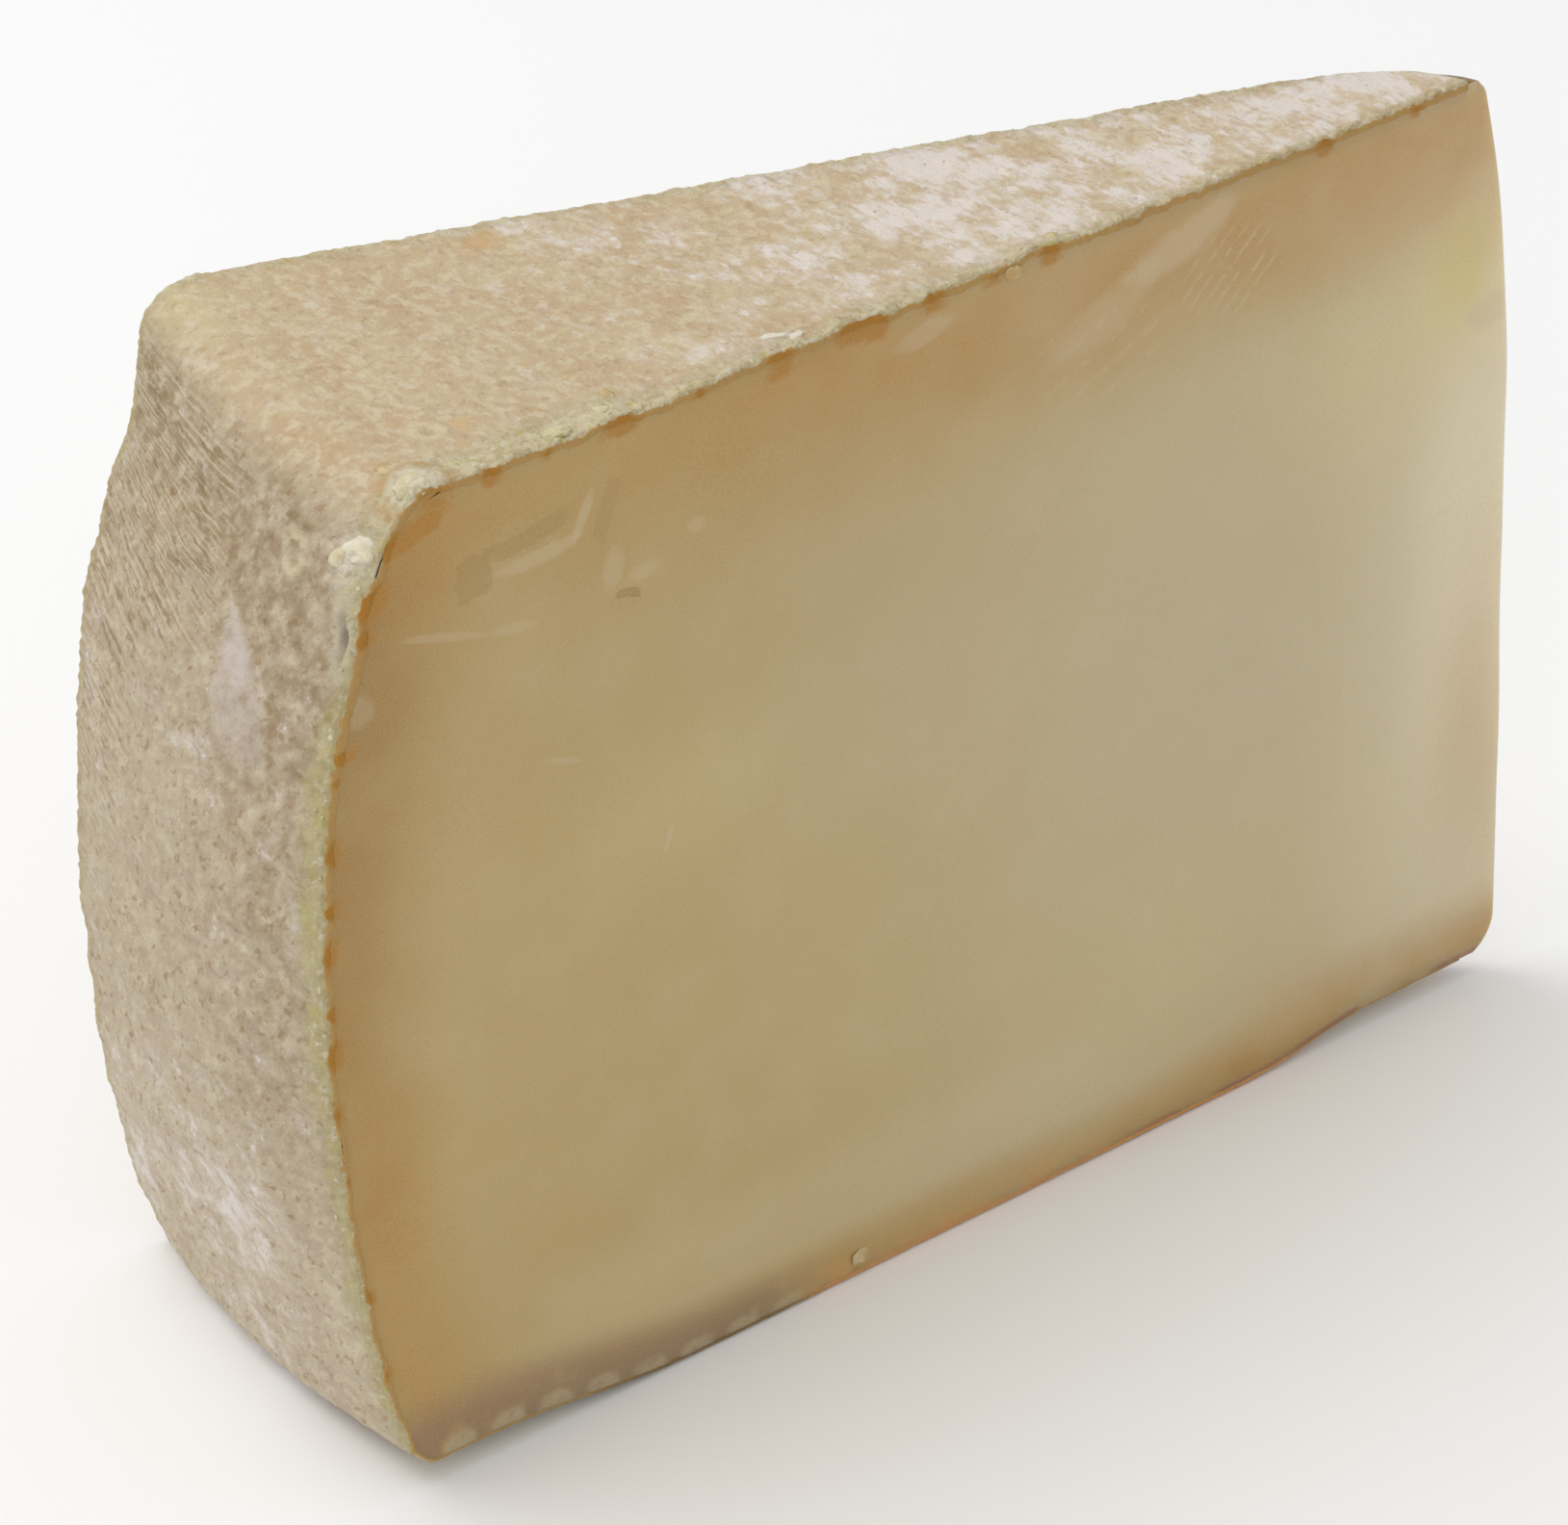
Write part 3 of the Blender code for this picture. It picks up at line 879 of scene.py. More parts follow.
# Where the edge of the underside turns from brown to orange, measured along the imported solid
WARM_FOOT = (-0.0170, -0.0110)
# Roughest part of the rind, round its near corner
RUGGED = ((0.0060, 0.0030, 0.0755), 0.0085)
# Spots of the top: distance from the rim, depth behind the cut, half sizes
ORANGE_SPOTS = ((0.0348, 0.0261, 0.0016, 0.0012), (0.0173, 0.0062, 0.0009, 0.0008))
# Pale rind round the lumps of the near corner: middle, radius
LOBE_SPOTS = (((0.0100, 0.0011, 0.0796), 0.0015), ((0.0052, 0.0026, 0.0756), 0.0021))
# Painted shade round the near lobe, darkest in a ring about it: middle, half width, radius
LOBE_SHADE_RING = ((0.0098, 0.0009, 0.0797), 0.0005, 0.0024)
FAR_CORNER = ((0.0110, 0.0345, 0.0785), 0.0055)


def rind_path():
    """Along and up shares of the rind's rows: in along the top, down the rim, out underneath."""
    top_length = tip_point(HEIGHT, 0.0)[0] - rim_point(HEIGHT, 0.0)[0]
    top = np.linspace(1.0, 0.0, round(top_length / TOP_CELL), endpoint=False)
    fine = 0.5 + 0.5 * np.cos(np.linspace(0.0, math.pi, 4001))
    profile = stacked(rim_point(HEIGHT * fine, 0.0)[:, 0], HEIGHT * fine)
    steps = np.linalg.norm(np.diff(profile, axis=0), axis=1)
    run = np.concatenate(((0.0,), np.cumsum(steps)))
    rows = np.linspace(0.0, run[-1], round(run[-1] / RIM_CELL), endpoint=False)
    rim = np.interp(rows, run, fine)
    under = np.linspace(0.0, 1.0, round(TIP_REACH / FOOT_CELL) + 1)
    along = np.concatenate((top, np.zeros_like(rim), under))
    up = np.concatenate((np.ones_like(top), rim, np.zeros_like(under)))
    return along, up


def lobes(run, pitch, seed):
    """Row of uneven half-round lobes at distances along an edge, 1 at their crowns."""
    line = stacked(run, 0.0, 0.0)
    place = run / pitch + 0.8 * ripple(line, 1.9 * pitch, seed)
    number = np.floor(place)
    across = 2.0 * (place - number) - 1.0
    size = 0.62 + 0.75 * ripple(stacked(number, 0.0, 0.0), 1.7, seed + 5.0)
    return np.clip(size, 0.1, 1.0) * np.sqrt(1.0 - across ** 2)


def oval(first, second, spot):
    """Bell curve over an oval spot, from two coordinates and the spot's middle and half sizes."""
    return hump(np.hypot((first - spot[0]) / spot[2], (second - spot[1]) / spot[3]), 0.0, 1.0)


def strip_width(points, front_side, on_rim):
    """How wide the cream strip along the cuts is: broad near the corner, narrow at the tip."""
    x, z = points[..., 0], points[..., 2]
    top = mix(mix(0.0026, 0.0011, eased(x, 0.024, 0.034)), 0.0003, eased(x, 0.054, 0.080))
    rim = mix(0.0017, 0.0026, eased(z, 0.020, 0.050)) - 0.0013 * hump(z, 0.0670, 0.0040)
    return np.where(front_side, mix(top, rim, on_rim), 0.0006)


def rind_surface():
    """Outer surface of the rind as a grid of points, its normals and its attributes."""
    along, up = rind_path()
    across = spread(RIND_COLUMNS)
    points = wedge_point(along[:, None], across[None, :], up[:, None])
    normals = unit(np.cross(np.gradient(points, axis=1), np.gradient(points, axis=0)))

    on_rim = eased(HEIGHT - points[..., 2], 0.0005, 0.0045) * (along == 0.0)[:, None]
    on_floor = np.broadcast_to((up == 0.0)[:, None], on_rim.shape)
    to_front, to_back = distance_to_cuts(points)
    from_cut = np.maximum(np.minimum(to_front, to_back), 0.0)
    front_side = to_front < to_back
    width = strip_width(points, front_side, on_rim)
    near_edge = hump(from_cut, 0.0, 0.35 * width + 0.0005) * np.where(front_side, 1.0, BACK_CRUMBLE)
    arc = WHEEL_RADIUS * np.arctan2(points[..., 1], WHEEL_RADIUS - points[..., 0])
    slot = oval(arc, points[..., 2], SLOT) * (on_rim > 0.0)
    halo = oval(arc, points[..., 2], (*SLOT[:2], HALO_WIDER * SLOT[2], 1.4 * SLOT[3])) * (on_rim > 0.0)

    ring = np.zeros(points.shape[:-1])
    relief = surface_relief(points, on_rim) - SLOT_SINK * slot + crumble_rise(points, near_edge)
    for middle, radius, half, rise in RINGS:
        band = glow(points, middle, half, radius)
        ring += band
        relief += rise * band
    relief[on_floor] = 0.0
    flush = points + normals * relief[..., None]
    set_back = CRUMBLE_SET_BACK * (0.4 + 0.6 * ripple(points, CRUMBLE_SIZE, 37.0))
    set_back += NIBBLE_SET_BACK * ripple(points, NIBBLE_SIZE, 67.0)
    inward = np.where(front_side[..., None], INTO_FRONT, INTO_BACK)
    placed = flush + inward * (near_edge * np.maximum(set_back, SET_BACK_LEAST))[..., None]
    top_spots = sum(oval(points[..., 0], points[..., 1], spot) for spot in ORANGE_SPOTS)
    shares = {
        "rim": on_rim,
        "from_cut": from_cut,
        "strip": width,
        "crumbly": near_edge * ~on_floor,
        "arc": arc,
        "slot": slot,
        "halo": np.clip(halo - slot, 0.0, 1.0),
        "orange": top_spots * (up == 1.0)[:, None],
        "lobe": sum(glow(points, *spot) for spot in LOBE_SPOTS),
        "lobe_shade": glow(points, *LOBE_SHADE_RING),
        "corner": glow(points, *FAR_CORNER),
        "ring": ring,
        "rugged": glow(points, *RUGGED),
        "grain": np.where(on_floor, 0.0, 1.0),
    }
    return placed, flush, normals, shares


def edge_loop(rows, columns):
    """Grid places round the rind's outline: front cut, far tip end, back cut, near tip end."""
    front = [(row, 0) for row in range(rows)]
    under_tip = [(rows - 1, column) for column in range(1, columns)]
    back = [(row, columns - 1) for row in range(rows - 2, -1, -1)]
    top_tip = [(0, column) for column in range(columns - 2, 0, -1)]
    return front + under_tip + back + top_tip


def outward_along(loop, points, rows, columns):
    """Direction out of the cheese, square to the cut or the tip, at each place of the outline."""
    directions = []
    for row, column in loop:
        out = np.zeros(3)
        if column == 0:
            out -= INTO_FRONT
        if column == columns - 1:
            out -= INTO_BACK
        if row in (0, rows - 1) and 0 < column < columns - 1:
            run = points[row, column + 1] - points[row, column - 1]
            out += unit(np.array((run[1], -run[0], 0.0)))
        directions.append(out)
    return unit(np.array(directions))


def rind_lip(points, flush, normals, settings):
    """Rings of points from the rind's outline down to the paste, a lip that slopes out to the cut."""
    rows, columns = points.shape[:2]
    loop = edge_loop(rows, columns)
    at = tuple(np.array(loop).T)
    outward = outward_along(loop, points, rows, columns)
    edge, normal = points[at], normals[at]
    run = np.concatenate(((0.0,), np.cumsum(np.linalg.norm(np.diff(edge, axis=0), axis=1))))
    lobe = lobes(run, LOBE_PITCH, 61.0)
    small = lobes(run, 0.42 * LOBE_PITCH, 71.0)
    body = mix(0.60, 1.0, eased(edge[:, 2], 0.0008, 0.0060))
    uneven = 0.85 + 0.55 * ripple(edge, 0.0011, 91.0) + 0.30 * ripple(edge, 0.0004, 93.0)
    thickness = settings.thickness * body * np.clip(uneven, 0.78, 1.5)
    rings = []
    for step in range(1, LIP_STEPS + 1):
        share = step / LIP_STEPS
        swell = math.sin(math.pi * share) ** 0.8 * (0.10 + 0.45 * lobe + 0.45 * small)
        place = edge - normal * (0.5 * step * settings.thickness)
        out = settings.lip * body * swell + LIP_ROUGH * body * ripple(place, 0.00060, 83.0)
        out = out + LIP_PROUD * eased(share, 0.0, 0.80)
        down = thickness * share
        if step == LIP_STEPS:
            out, down = -LIP_SINK, LIP_REACH * body
        base = mix(edge, flush[at], eased(share, 0.0, 0.80))
        rings.append(base - normal * down[:, None] + outward * np.reshape(out, (-1, 1)))
    return loop, rings


def rind_faces(rows, columns, loop):
    """Faces of the outer grid, the lip's rings and the hidden inside, as one closed skin."""
    grid = np.arange(rows * columns).reshape(rows, columns)
    corners = (grid[:-1, :-1], grid[1:, :-1], grid[1:, 1:], grid[:-1, 1:])
    faces = np.stack(corners, axis=-1).reshape(-1, 4).tolist()
    count = len(loop)
    rings = [np.array([grid[place] for place in loop])]
    rings += [rows * columns + step * count + np.arange(count) for step in range(LIP_STEPS)]
    for outer, inner in zip(rings, rings[1:]):
        quads = (outer, np.roll(outer, -1), np.roll(inner, -1), inner)
        faces.extend(np.stack(quads, axis=-1).tolist())
    last = dict(zip(loop, rings[-1].tolist()))
    right = columns - 1
    for row in range(1, rows - 2):
        faces.append([last[row, 0], last[row + 1, 0], last[row + 1, right], last[row, right]])
    top_end = [last[0, column] for column in range(columns)]
    faces.append(top_end + [last[1, right], last[1, 0]])
    floor_end = [last[rows - 1, column] for column in range(columns)]
    faces.append(floor_end[::-1] + [last[rows - 2, 0], last[rows - 2, right]])
    return faces


def rib_wave(work, place, arc, pitch):
    """Wave of the cloth's ribs between -1 and 1, its share that is not worn, and height along them."""
    height = work.add("ShaderNodeSeparateXYZ", {0: place}).outputs[2]
    sloping = work.times(arc, work.ramp(height, 0.0740, 0.0640))
    level = work.scaled(sloping, -RIB_SLOPE, height)
    closer = work.maths("MAXIMUM", work.less(level, RIB_CLOSER_ABOVE), 0.0)
    stretched = work.scaled(closer, RIB_CLOSER_BY, level)
    turns = work.maths("DIVIDE", stretched, pitch)
    turns = work.scaled(work.grain(place, 0.016, 1.0, 2.0), 1.0, turns)
    wave = work.maths("SINE", work.times(turns, math.tau))
    threads = work.add("ShaderNodeCombineXYZ", {0: arc, 2: work.times(level, 5.0)})
    worn = work.ramp(work.grain(threads.outputs[0], 0.0052, 4.0, 8.0, 0.65), 0.40, 0.60)
    return wave, worn, level


def relief_tree():
    """Node tree that raises the rind's cloth ribs, its leathery grain and its crumbled strip."""
    sizes = ("Rib Pitch", "Rib Depth", "Grain Size", "Grain Depth", "Granule Size", "Granule Depth")
    tree, work, given = new_group("rind_relief", sizes)
    place = work.add("GeometryNodeInputPosition").outputs[0]
    normal = work.add("GeometryNodeInputNormal").outputs[0]

    def named(label):
        node = work.add("GeometryNodeInputNamedAttribute", {"Name": label}, data_type="FLOAT")
        return node.outputs[0]

    wave, worn, _ = rib_wave(work, place, named("arc"), given["Rib Pitch"])
    ribs = work.times(work.times(wave, worn), named("ribs"))
    ribs = work.times(ribs, given["Rib Depth"])

    per_grain = work.maths("DIVIDE", 1.0, given["Grain Size"])
    scaled = work.vector("SCALE", work.slanted(place), scale=per_grain)
    coarse = work.less(work.grain(scaled, 1.0, 3.0, 5.0), 0.5)
    soft = work.less(work.grain(scaled, 3.2, 2.0, 15.0), 0.5)
    grain = work.times(work.scaled(soft, 1.4, coarse), 2.0)
    grain = work.times(work.times(grain, named("grain")), given["Grain Depth"])

    cells = {"Vector": place, "Scale": work.maths("DIVIDE", 1.0, given["Granule Size"])}
    away = work.add("ShaderNodeTexVoronoi", cells, feature="SMOOTH_F1").outputs["Distance"]
    granules = work.times(work.less(0.45, away), named("crumbly"))
    granules = work.times(granules, work.times(given["Granule Depth"], 2.0))

    rise = work.plus(work.plus(ribs, grain), granules)
    move = work.vector("SCALE", normal, scale=rise)
    moved = work.add("GeometryNodeSetPosition", {"Geometry": given["Geometry"], "Offset": move})
    real = work.add("GeometryNodeRealizeInstances", {0: moved.outputs[0]})
    inputs = {"Geometry": real.outputs[0], "Material": given["Material"]}
    done = work.add("GeometryNodeSetMaterial", inputs)
    work.add("NodeGroupOutput", {0: done.outputs[0]})
    return tree


def rind_material(colours, settings):
    look = Finish("cheese_rind")
    rim = look.stored("rim")
    from_cut = look.stored("from_cut")
    lip = look.stored("lip")
    place = look.slanted(look.place)

    def noisy(size, seed, low, high, strength, rough=0.66):
        detail = math.log2(size / FINEST)
        share = look.ramp(look.grain(place, size, detail, seed, rough), low, high)
        return look.times(share, strength)

    # body of the rind: broad tan and cream fields, blushes, pale grains and brown pits
    look.colour = colours.rind
    look.coat(noisy(0.0056, 3.0, 0.34, 0.66, 0.85), colours.rind_tan)
    look.coat(look.stored("corner"), colours.rind_corner, 0.75)
    look.coat(rim, colours.rind_rim, 0.80)
    look.coat(noisy(0.0018, 7.0, 0.42, 0.70, 0.32), colours.rind_pink)
    mauve = look.times(rim, noisy(0.0030, 21.0, 0.36, 0.70, 0.62))
    look.coat(mauve, colours.rind_mauve)
    look.coat(noisy(0.0010, 12.0, 0.44, 0.66, 0.66), colours.rind_cream)
    deeper = look.scaled(rim, 0.45, 0.50)
    pits = look.times(noisy(0.0008, 17.0, 0.54, 0.70, 0.80), deeper)
    look.coat(pits, colours.rind_brown)
    # painted shade in the rim's neck under its top edge, with the rim duller towards the front cut
    neck_shade = look.times(look.stored("neck_shade"), noisy(0.0016, 24.0, 0.22, 0.78, 0.88))
    look.coat(neck_shade, colours.rind_neck_shade)
    ring = look.times(look.stored("ring"), noisy(0.0008, 27.0, 0.30, 0.55, 0.75))
    look.coat(ring, colours.edge)
    look.coat(look.stored("orange"), colours.orange, 0.65)

    # cloth ribs: dark in their furrows, pale on their crowns
    wave, worn, level = rib_wave(look, look.place, look.stored("arc"), settings.rib_pitch)
    ribs = look.times(worn, look.stored("ribs"))
    furrow = look.times(look.ramp(wave, -0.25, -0.95), ribs)
    crown = look.times(look.ramp(wave, 0.35, 0.95), ribs)
    look.coat(furrow, colours.rind_brown, 0.45)
    look.coat(crown, colours.rind_cream, 0.50)
    parts = {0: look.stored("arc"), 2: look.times(level, 4.0)}
    threads = look.add("ShaderNodeCombineXYZ", parts).outputs[0]
    dashes = look.ramp(look.grain(threads, 0.0022, 3.0, 19.0, 0.60), 0.53, 0.63)
    dashes = look.times(dashes, look.stored("ribs"))
    look.coat(dashes, colours.rind_dash, 0.62)

    # white bloom in ragged patches combed across the top, with loose flakes and dark specks
    patchy = look.grain(look.place, 0.0058, 5.0, 26.0, 0.64)
    combed = look.grain(look.vector("MULTIPLY", look.place, (1.0, 0.35, 0.7)), 0.0010, 3.0, 28.0, 0.75)
    cover = look.scaled(combed, 1.3, look.stored("bloom"))
    cover = look.scaled(patchy, 2.1, cover)
    look.coat(look.ramp(cover, 1.70, 2.10), colours.bloom, 0.24)
    bloom = look.times(look.ramp(cover, 1.96, 2.30), 0.82)
    look.coat(bloom, colours.bloom)
    flakes = look.times(noisy(0.0009, 31.0, 0.60, 0.67, 0.70), look.ramp(cover, 1.78, 2.02))
    look.coat(flakes, colours.bloom)
    specks = look.times(look.ramp(cover, 1.88, 2.08), look.dots(look.place, 0.0012, 0.00014))
    look.coat(specks, colours.speck, 0.75)
    streak = look.times(look.stored("streak"), noisy(0.0030, 73.0, 0.22, 0.66, 0.82))
    look.coat(streak, colours.bloom_rim)

    # crumbled strip along the cuts, from white grains to painted shade in its hollows, with greener specks
    wander = look.less(look.grain(place, 0.0017, 6.0, 30.0, 0.70), 0.5)
    inside = look.less(look.stored("strip"), from_cut)
    reach = look.scaled(wander, 0.0066, inside)
    firm = look.scaled(rim, -0.15, 0.85)
    strip = look.times(look.ramp(reach, -0.0010, 0.0012), firm)
    cream = look.tint(rim, colours.edge, colours.edge_rim)
    # painted shade in the hollows between the strip's grains
    cream = look.tint(noisy(0.0010, 38.0, 0.46, 0.64, 0.72), cream, colours.edge_hollow_shade)
    cream = look.tint(noisy(0.0007, 41.0, 0.55, 0.68, 0.62), cream, colours.crumb_white)
    cream = look.tint(noisy(0.0016, 35.0, 0.55, 0.66, 0.80), cream, colours.green)
    look.coat(strip, cream)
    # painted shade round the near lobe
    lobe_shade = look.times(look.stored("lobe_shade"), noisy(0.0012, 55.0, 0.30, 0.55, 0.75))
    look.coat(lobe_shade, colours.lip)
    lobe = look.times(look.stored("lobe"), noisy(0.0009, 52.0, 0.30, 0.56, 0.80))
    look.coat(lobe, colours.crumb_white)
    look.coat(look.stored("halo"), colours.crumb_white, 0.80)
    # the slot's grey is painted shade in its hollow
    look.coat(look.stored("slot"), colours.slot, 0.90)

    # lip: as tan as the paste, with amber where they meet, and brown along the floor
    ragged = look.scaled(look.grain(place, 0.0009, 5.0, 50.0, 0.65), 1.6, -0.8)
    deep = look.plus(lip, ragged)
    look.coat(look.ramp(deep, 0.28, 0.60), colours.lip)
    burnt = look.scaled(deep, 0.60, look.stored("amber"))
    look.coat(look.ramp(burnt, 0.66, 1.20), colours.amber, 0.90)
    height = look.add("ShaderNodeSeparateXYZ", {0: look.place}).outputs[2]
    foot = look.times(look.ramp(height, 0.0016, 0.0004), look.ramp(from_cut, 0.002, 0.0))
    along = look.add("ShaderNodeSeparateXYZ", {0: look.place}).outputs[0]
    # the orange of the underside's edge is painted lighter to make up for the floor's shade
    warm = look.tint(look.ramp(along, *WARM_FOOT), colours.sole, colours.foot_orange)
    look.coat(foot, warm)

    roughness = look.scaled(look.grain(place, 0.002, 3.0, 40.0), 0.20, 0.60)
    fine = look.grain(place, 0.00045, 4.0, 44.0, 0.65)
    height = look.plus(fine, look.times(look.grain(place, 0.0011, 4.0, 47.0, 0.65), 1.4))
    height = look.times(height, look.scaled(strip, 0.8, 1.0))
    return look.finish(roughness, height, 0.00016, 0.12, 0.0015)


def bloom_share(points):
    """Where white bloom gathers on the rind: mostly the tip half of the top, thin low on the rim."""
    x, y, z = points.T
    on_top = z > HEIGHT - 0.0012
    top = 0.28 * eased(x, 0.026, 0.042) - 0.12 + 0.16 * eased(x, 0.050, 0.060)
    top += 0.09 * hump(x, 0.066, 0.010) + 0.07 * eased(x, 0.080, 0.092)
    top *= eased(y, 0.0, 0.0010 + 0.0014 * eased(x, 0.060, 0.040))
    low = 0.24 * eased(z, 0.034, 0.018) * eased(y, 0.006, 0.014) - 0.06 - 0.12 * eased(z, 0.062, 0.070)
    return mix(low, top, on_top)


def streak_share(arc, height):
    """Streak of bloom down the rim: its far side is straight, its near side slants to a broad foot."""
    near_side = mix(0.0072, 0.0158, eased(height, 0.0612, 0.0705))
    across = eased(arc, 0.0156, 0.0149) * eased(arc, near_side, near_side + 0.0024)
    return across * eased(height, 0.0560, 0.0610)


def rib_share(arc, height):
    """Where the cloth's ribs show on the rim: high up, and on its half away from the front cut."""
    start = mix(0.025, 0.014, eased(height, 0.056, 0.064))
    strength = mix(0.25, 1.0, eased(height, 0.040, 0.050)) * eased(height, 0.022, 0.030)
    return eased(arc, start, start + 0.007) * strength * eased(height, 0.0785, 0.0765)


def neck_shade_share(arc, height):
    """Painted shade in the rim's neck under its top edge and in a darker patch there, and the rim painted
    duller towards the front cut.
    """
    neck = 0.85 * hump(height, 0.0742, 0.0038) * eased(arc, 0.002, 0.006)
    neck += 0.30 * eased(height, 0.048, 0.066)
    patch = 0.70 * hump(np.hypot(arc - 0.0080, 0.7 * (height - 0.0712)), 0.0, 0.0034)
    side = mix(0.30, 0.70, eased(arc, 0.0200, 0.0070)) * eased(height, 0.012, 0.034)
    return np.minimum(neck + patch + side, 1.0)


def ball(radii, turn, middle, seed):
    """Craggy lump: points and faces of a ball pushed about by noise."""
    body = bmesh.new()
    bmesh.ops.create_icosphere(body, subdivisions=4, radius=1.0)
    points = np.array([vertex.co for vertex in body.verts])
    faces = [[vertex.index for vertex in face.verts] for face in body.faces]
    body.free()
    push = ripple(points, 0.90, seed) + 0.55 * ripple(points, 0.42, seed + 3.0)
    push += 0.28 * ripple(points, 0.19, seed + 9.0)
    points = points * (1.0 + LUMP_ROUGHNESS * push)[:, None] * radii
    cos, sin = math.cos(math.radians(turn)), math.sin(math.radians(turn))
    turned = stacked(points[:, 0] * cos - points[:, 1] * sin,
                     points[:, 0] * sin + points[:, 1] * cos, points[:, 2])
    return turned + middle, faces


class CHEESE_OT_rind(bpy.types.Operator):
    """Make the rind: top, rim and underside in one skin, with a crumbled lip along every cut"""

    bl_idname = "cheese.rind"
    bl_label = "Make Rind"

    def execute(self, context):
        settings = context.scene.cheese_rind
        surface, flush, normals, shares = rind_surface()
        rows, columns = surface.shape[:2]
        loop, rings = rind_lip(surface, flush, normals, settings)
        faces = rind_faces(rows, columns, loop)
        points = np.concatenate([surface.reshape(-1, 3)] + rings)
        at = tuple(np.array(loop).T)
        attributes = {name: np.concatenate((values.ravel(), np.tile(values[at], LIP_STEPS)))
                      for name, values in shares.items()}
        level = np.repeat(np.arange(1, LIP_STEPS + 1) / LIP_STEPS, len(loop))
        attributes["lip"] = np.concatenate((np.zeros(rows * columns), level))
        attributes["grain"] *= 1.0 - eased(attributes["lip"], 0.0, 0.4)
        attributes["crumbly"] *= attributes["grain"]
        attributes["grain"] *= 1.0 + 1.3 * attributes["rugged"]
        on_lip = eased(attributes["lip"], 0.0, 0.30)
        attributes["amber"] = on_lip * amber_share(points[:, 0], points[:, 2], 0.0)
        arc = attributes["arc"]
        attributes["ribs"] = attributes["rim"] * rib_share(arc, points[:, 2])
        attributes["neck_shade"] = attributes["rim"] * neck_shade_share(arc, points[:, 2])
        attributes["streak"] = attributes["rim"] * streak_share(arc, points[:, 2])
        attributes["bloom"] = bloom_share(points)
        rind = make_piece("rind", points, faces, attributes)
        values = {"Rib Pitch": settings.rib_pitch, "Rib Depth": settings.rib_depth,
                  "Grain Size": settings.grain_size, "Grain Depth": settings.grain_depth,
                  "Granule Size": settings.granule_size, "Granule Depth": settings.granule_depth,
                  "Material": rind_material(context.scene.cheese_colours, settings)}
        apply_tree(rind, relief_tree(), values)
        rest_on_floor(rind)
        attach(rind, "root")
        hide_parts(NODE)
        return {"FINISHED"}


# ---------------------------------------------------------------------------
# Crumbs
# ---------------------------------------------------------------------------

def crumb_tree():
    """Node tree that scatters small uneven crumbs over a surface, densest where it has crumbled."""
    tree, work, given = new_group("scatter_crumbs", ("Density", "Smallest", "Largest"), ("Seed",))

    crumbly = work.add("GeometryNodeInputNamedAttribute", {"Name": "loose"}, data_type="FLOAT")
    density = work.times(crumbly.outputs[0], given["Density"])
    inputs = {"Mesh": given["Geometry"], "Density": density, "Seed": given["Seed"]}
    scattered = work.add("GeometryNodeDistributePointsOnFaces", inputs)

    cube = work.add("GeometryNodeMeshCube", {"Size": (2.0, 2.0, 2.0), "Vertices X": 3,
                                             "Vertices Y": 3, "Vertices Z": 3}).outputs[0]
    place = work.add("GeometryNodeInputPosition").outputs[0]
    rounded = work.vector("NORMALIZE", place)
    pebble = work.add("GeometryNodeSetPosition", {"Geometry": cube, "Position": rounded}).outputs[0]

    def random(kind, low, high, seed):
        node = work.add("FunctionNodeRandomValue", data_type=kind)
        vector = kind == "FLOAT_VECTOR"
        work.put(node.inputs[0 if vector else 2], low)
        work.put(node.inputs[1 if vector else 3], high)
        work.put(node.inputs["Seed"], seed)
        return node.outputs[0 if vector else 1]

    turn = random("FLOAT_VECTOR", (0.0, 0.0, 0.0), (math.tau, math.tau, math.tau), 11)
    shape = random("FLOAT_VECTOR", (0.8, 0.7, 0.5), (1.5, 1.1, 0.9), 12)
    draw = work.maths("POWER", random("FLOAT", 0.0, 1.0, 13), 2.0)
    span = work.less(given["Largest"], given["Smallest"])
    size = work.scaled(draw, span, given["Smallest"])
    inputs = {"Points": scattered.outputs[0], "Instance": pebble, "Rotation": turn,
              "Scale": work.vector("SCALE", shape, scale=size)}
    crumbs = work.add("GeometryNodeInstanceOnPoints", inputs)
    real = work.add("GeometryNodeRealizeInstances", {0: crumbs.outputs[0]}).outputs[0]
    where = work.add("GeometryNodeInputPosition").outputs[0]
    dents = work.add("ShaderNodeTexNoise", {"Vector": where, "Scale": 1300.0, "Detail": 1.0}).outputs[1]
    push = work.vector("SCALE", work.vector("SUBTRACT", dents, (0.5, 0.5, 0.5)), scale=0.00026)
    uneven = work.add("GeometryNodeSetPosition", {"Geometry": real, "Offset": push}).outputs[0]
    smooth = work.add("GeometryNodeSetShadeSmooth", {0: uneven}).outputs[0]
    done = work.add("GeometryNodeSetMaterial", {"Geometry": smooth, "Material": given["Material"]})
    work.add("NodeGroupOutput", {0: done.outputs[0]})
    return tree


def crumb_material(colours):
    look = Finish("cheese_crumb")
    share = look.ramp(look.grain(look.place, 0.0012, 4.0, 3.0), 0.40, 0.62)
    look.colour = colours.crumb
    look.coat(share, colours.edge)
    tone = look.stored("tone")
    white = look.scaled(look.grain(look.place, 0.0026, 4.0, 6.0), 1.6, tone)
    look.coat(look.ramp(white, 0.95, 1.60), colours.crumb_white)
    brown = look.times(look.grain(look.place, 0.0017, 4.0, 16.0), 1.6)
    ochre = look.less(brown, tone)
    look.coat(look.ramp(ochre, 0.95, 1.60), colours.lip, 0.8)
    height = look.add("ShaderNodeTexNoise", {"Vector": look.place, "Scale": 2200.0, "Detail": 4.0}).outputs[0]
    return look.finish(0.60, height, 0.00022, 0.25, 0.0012)


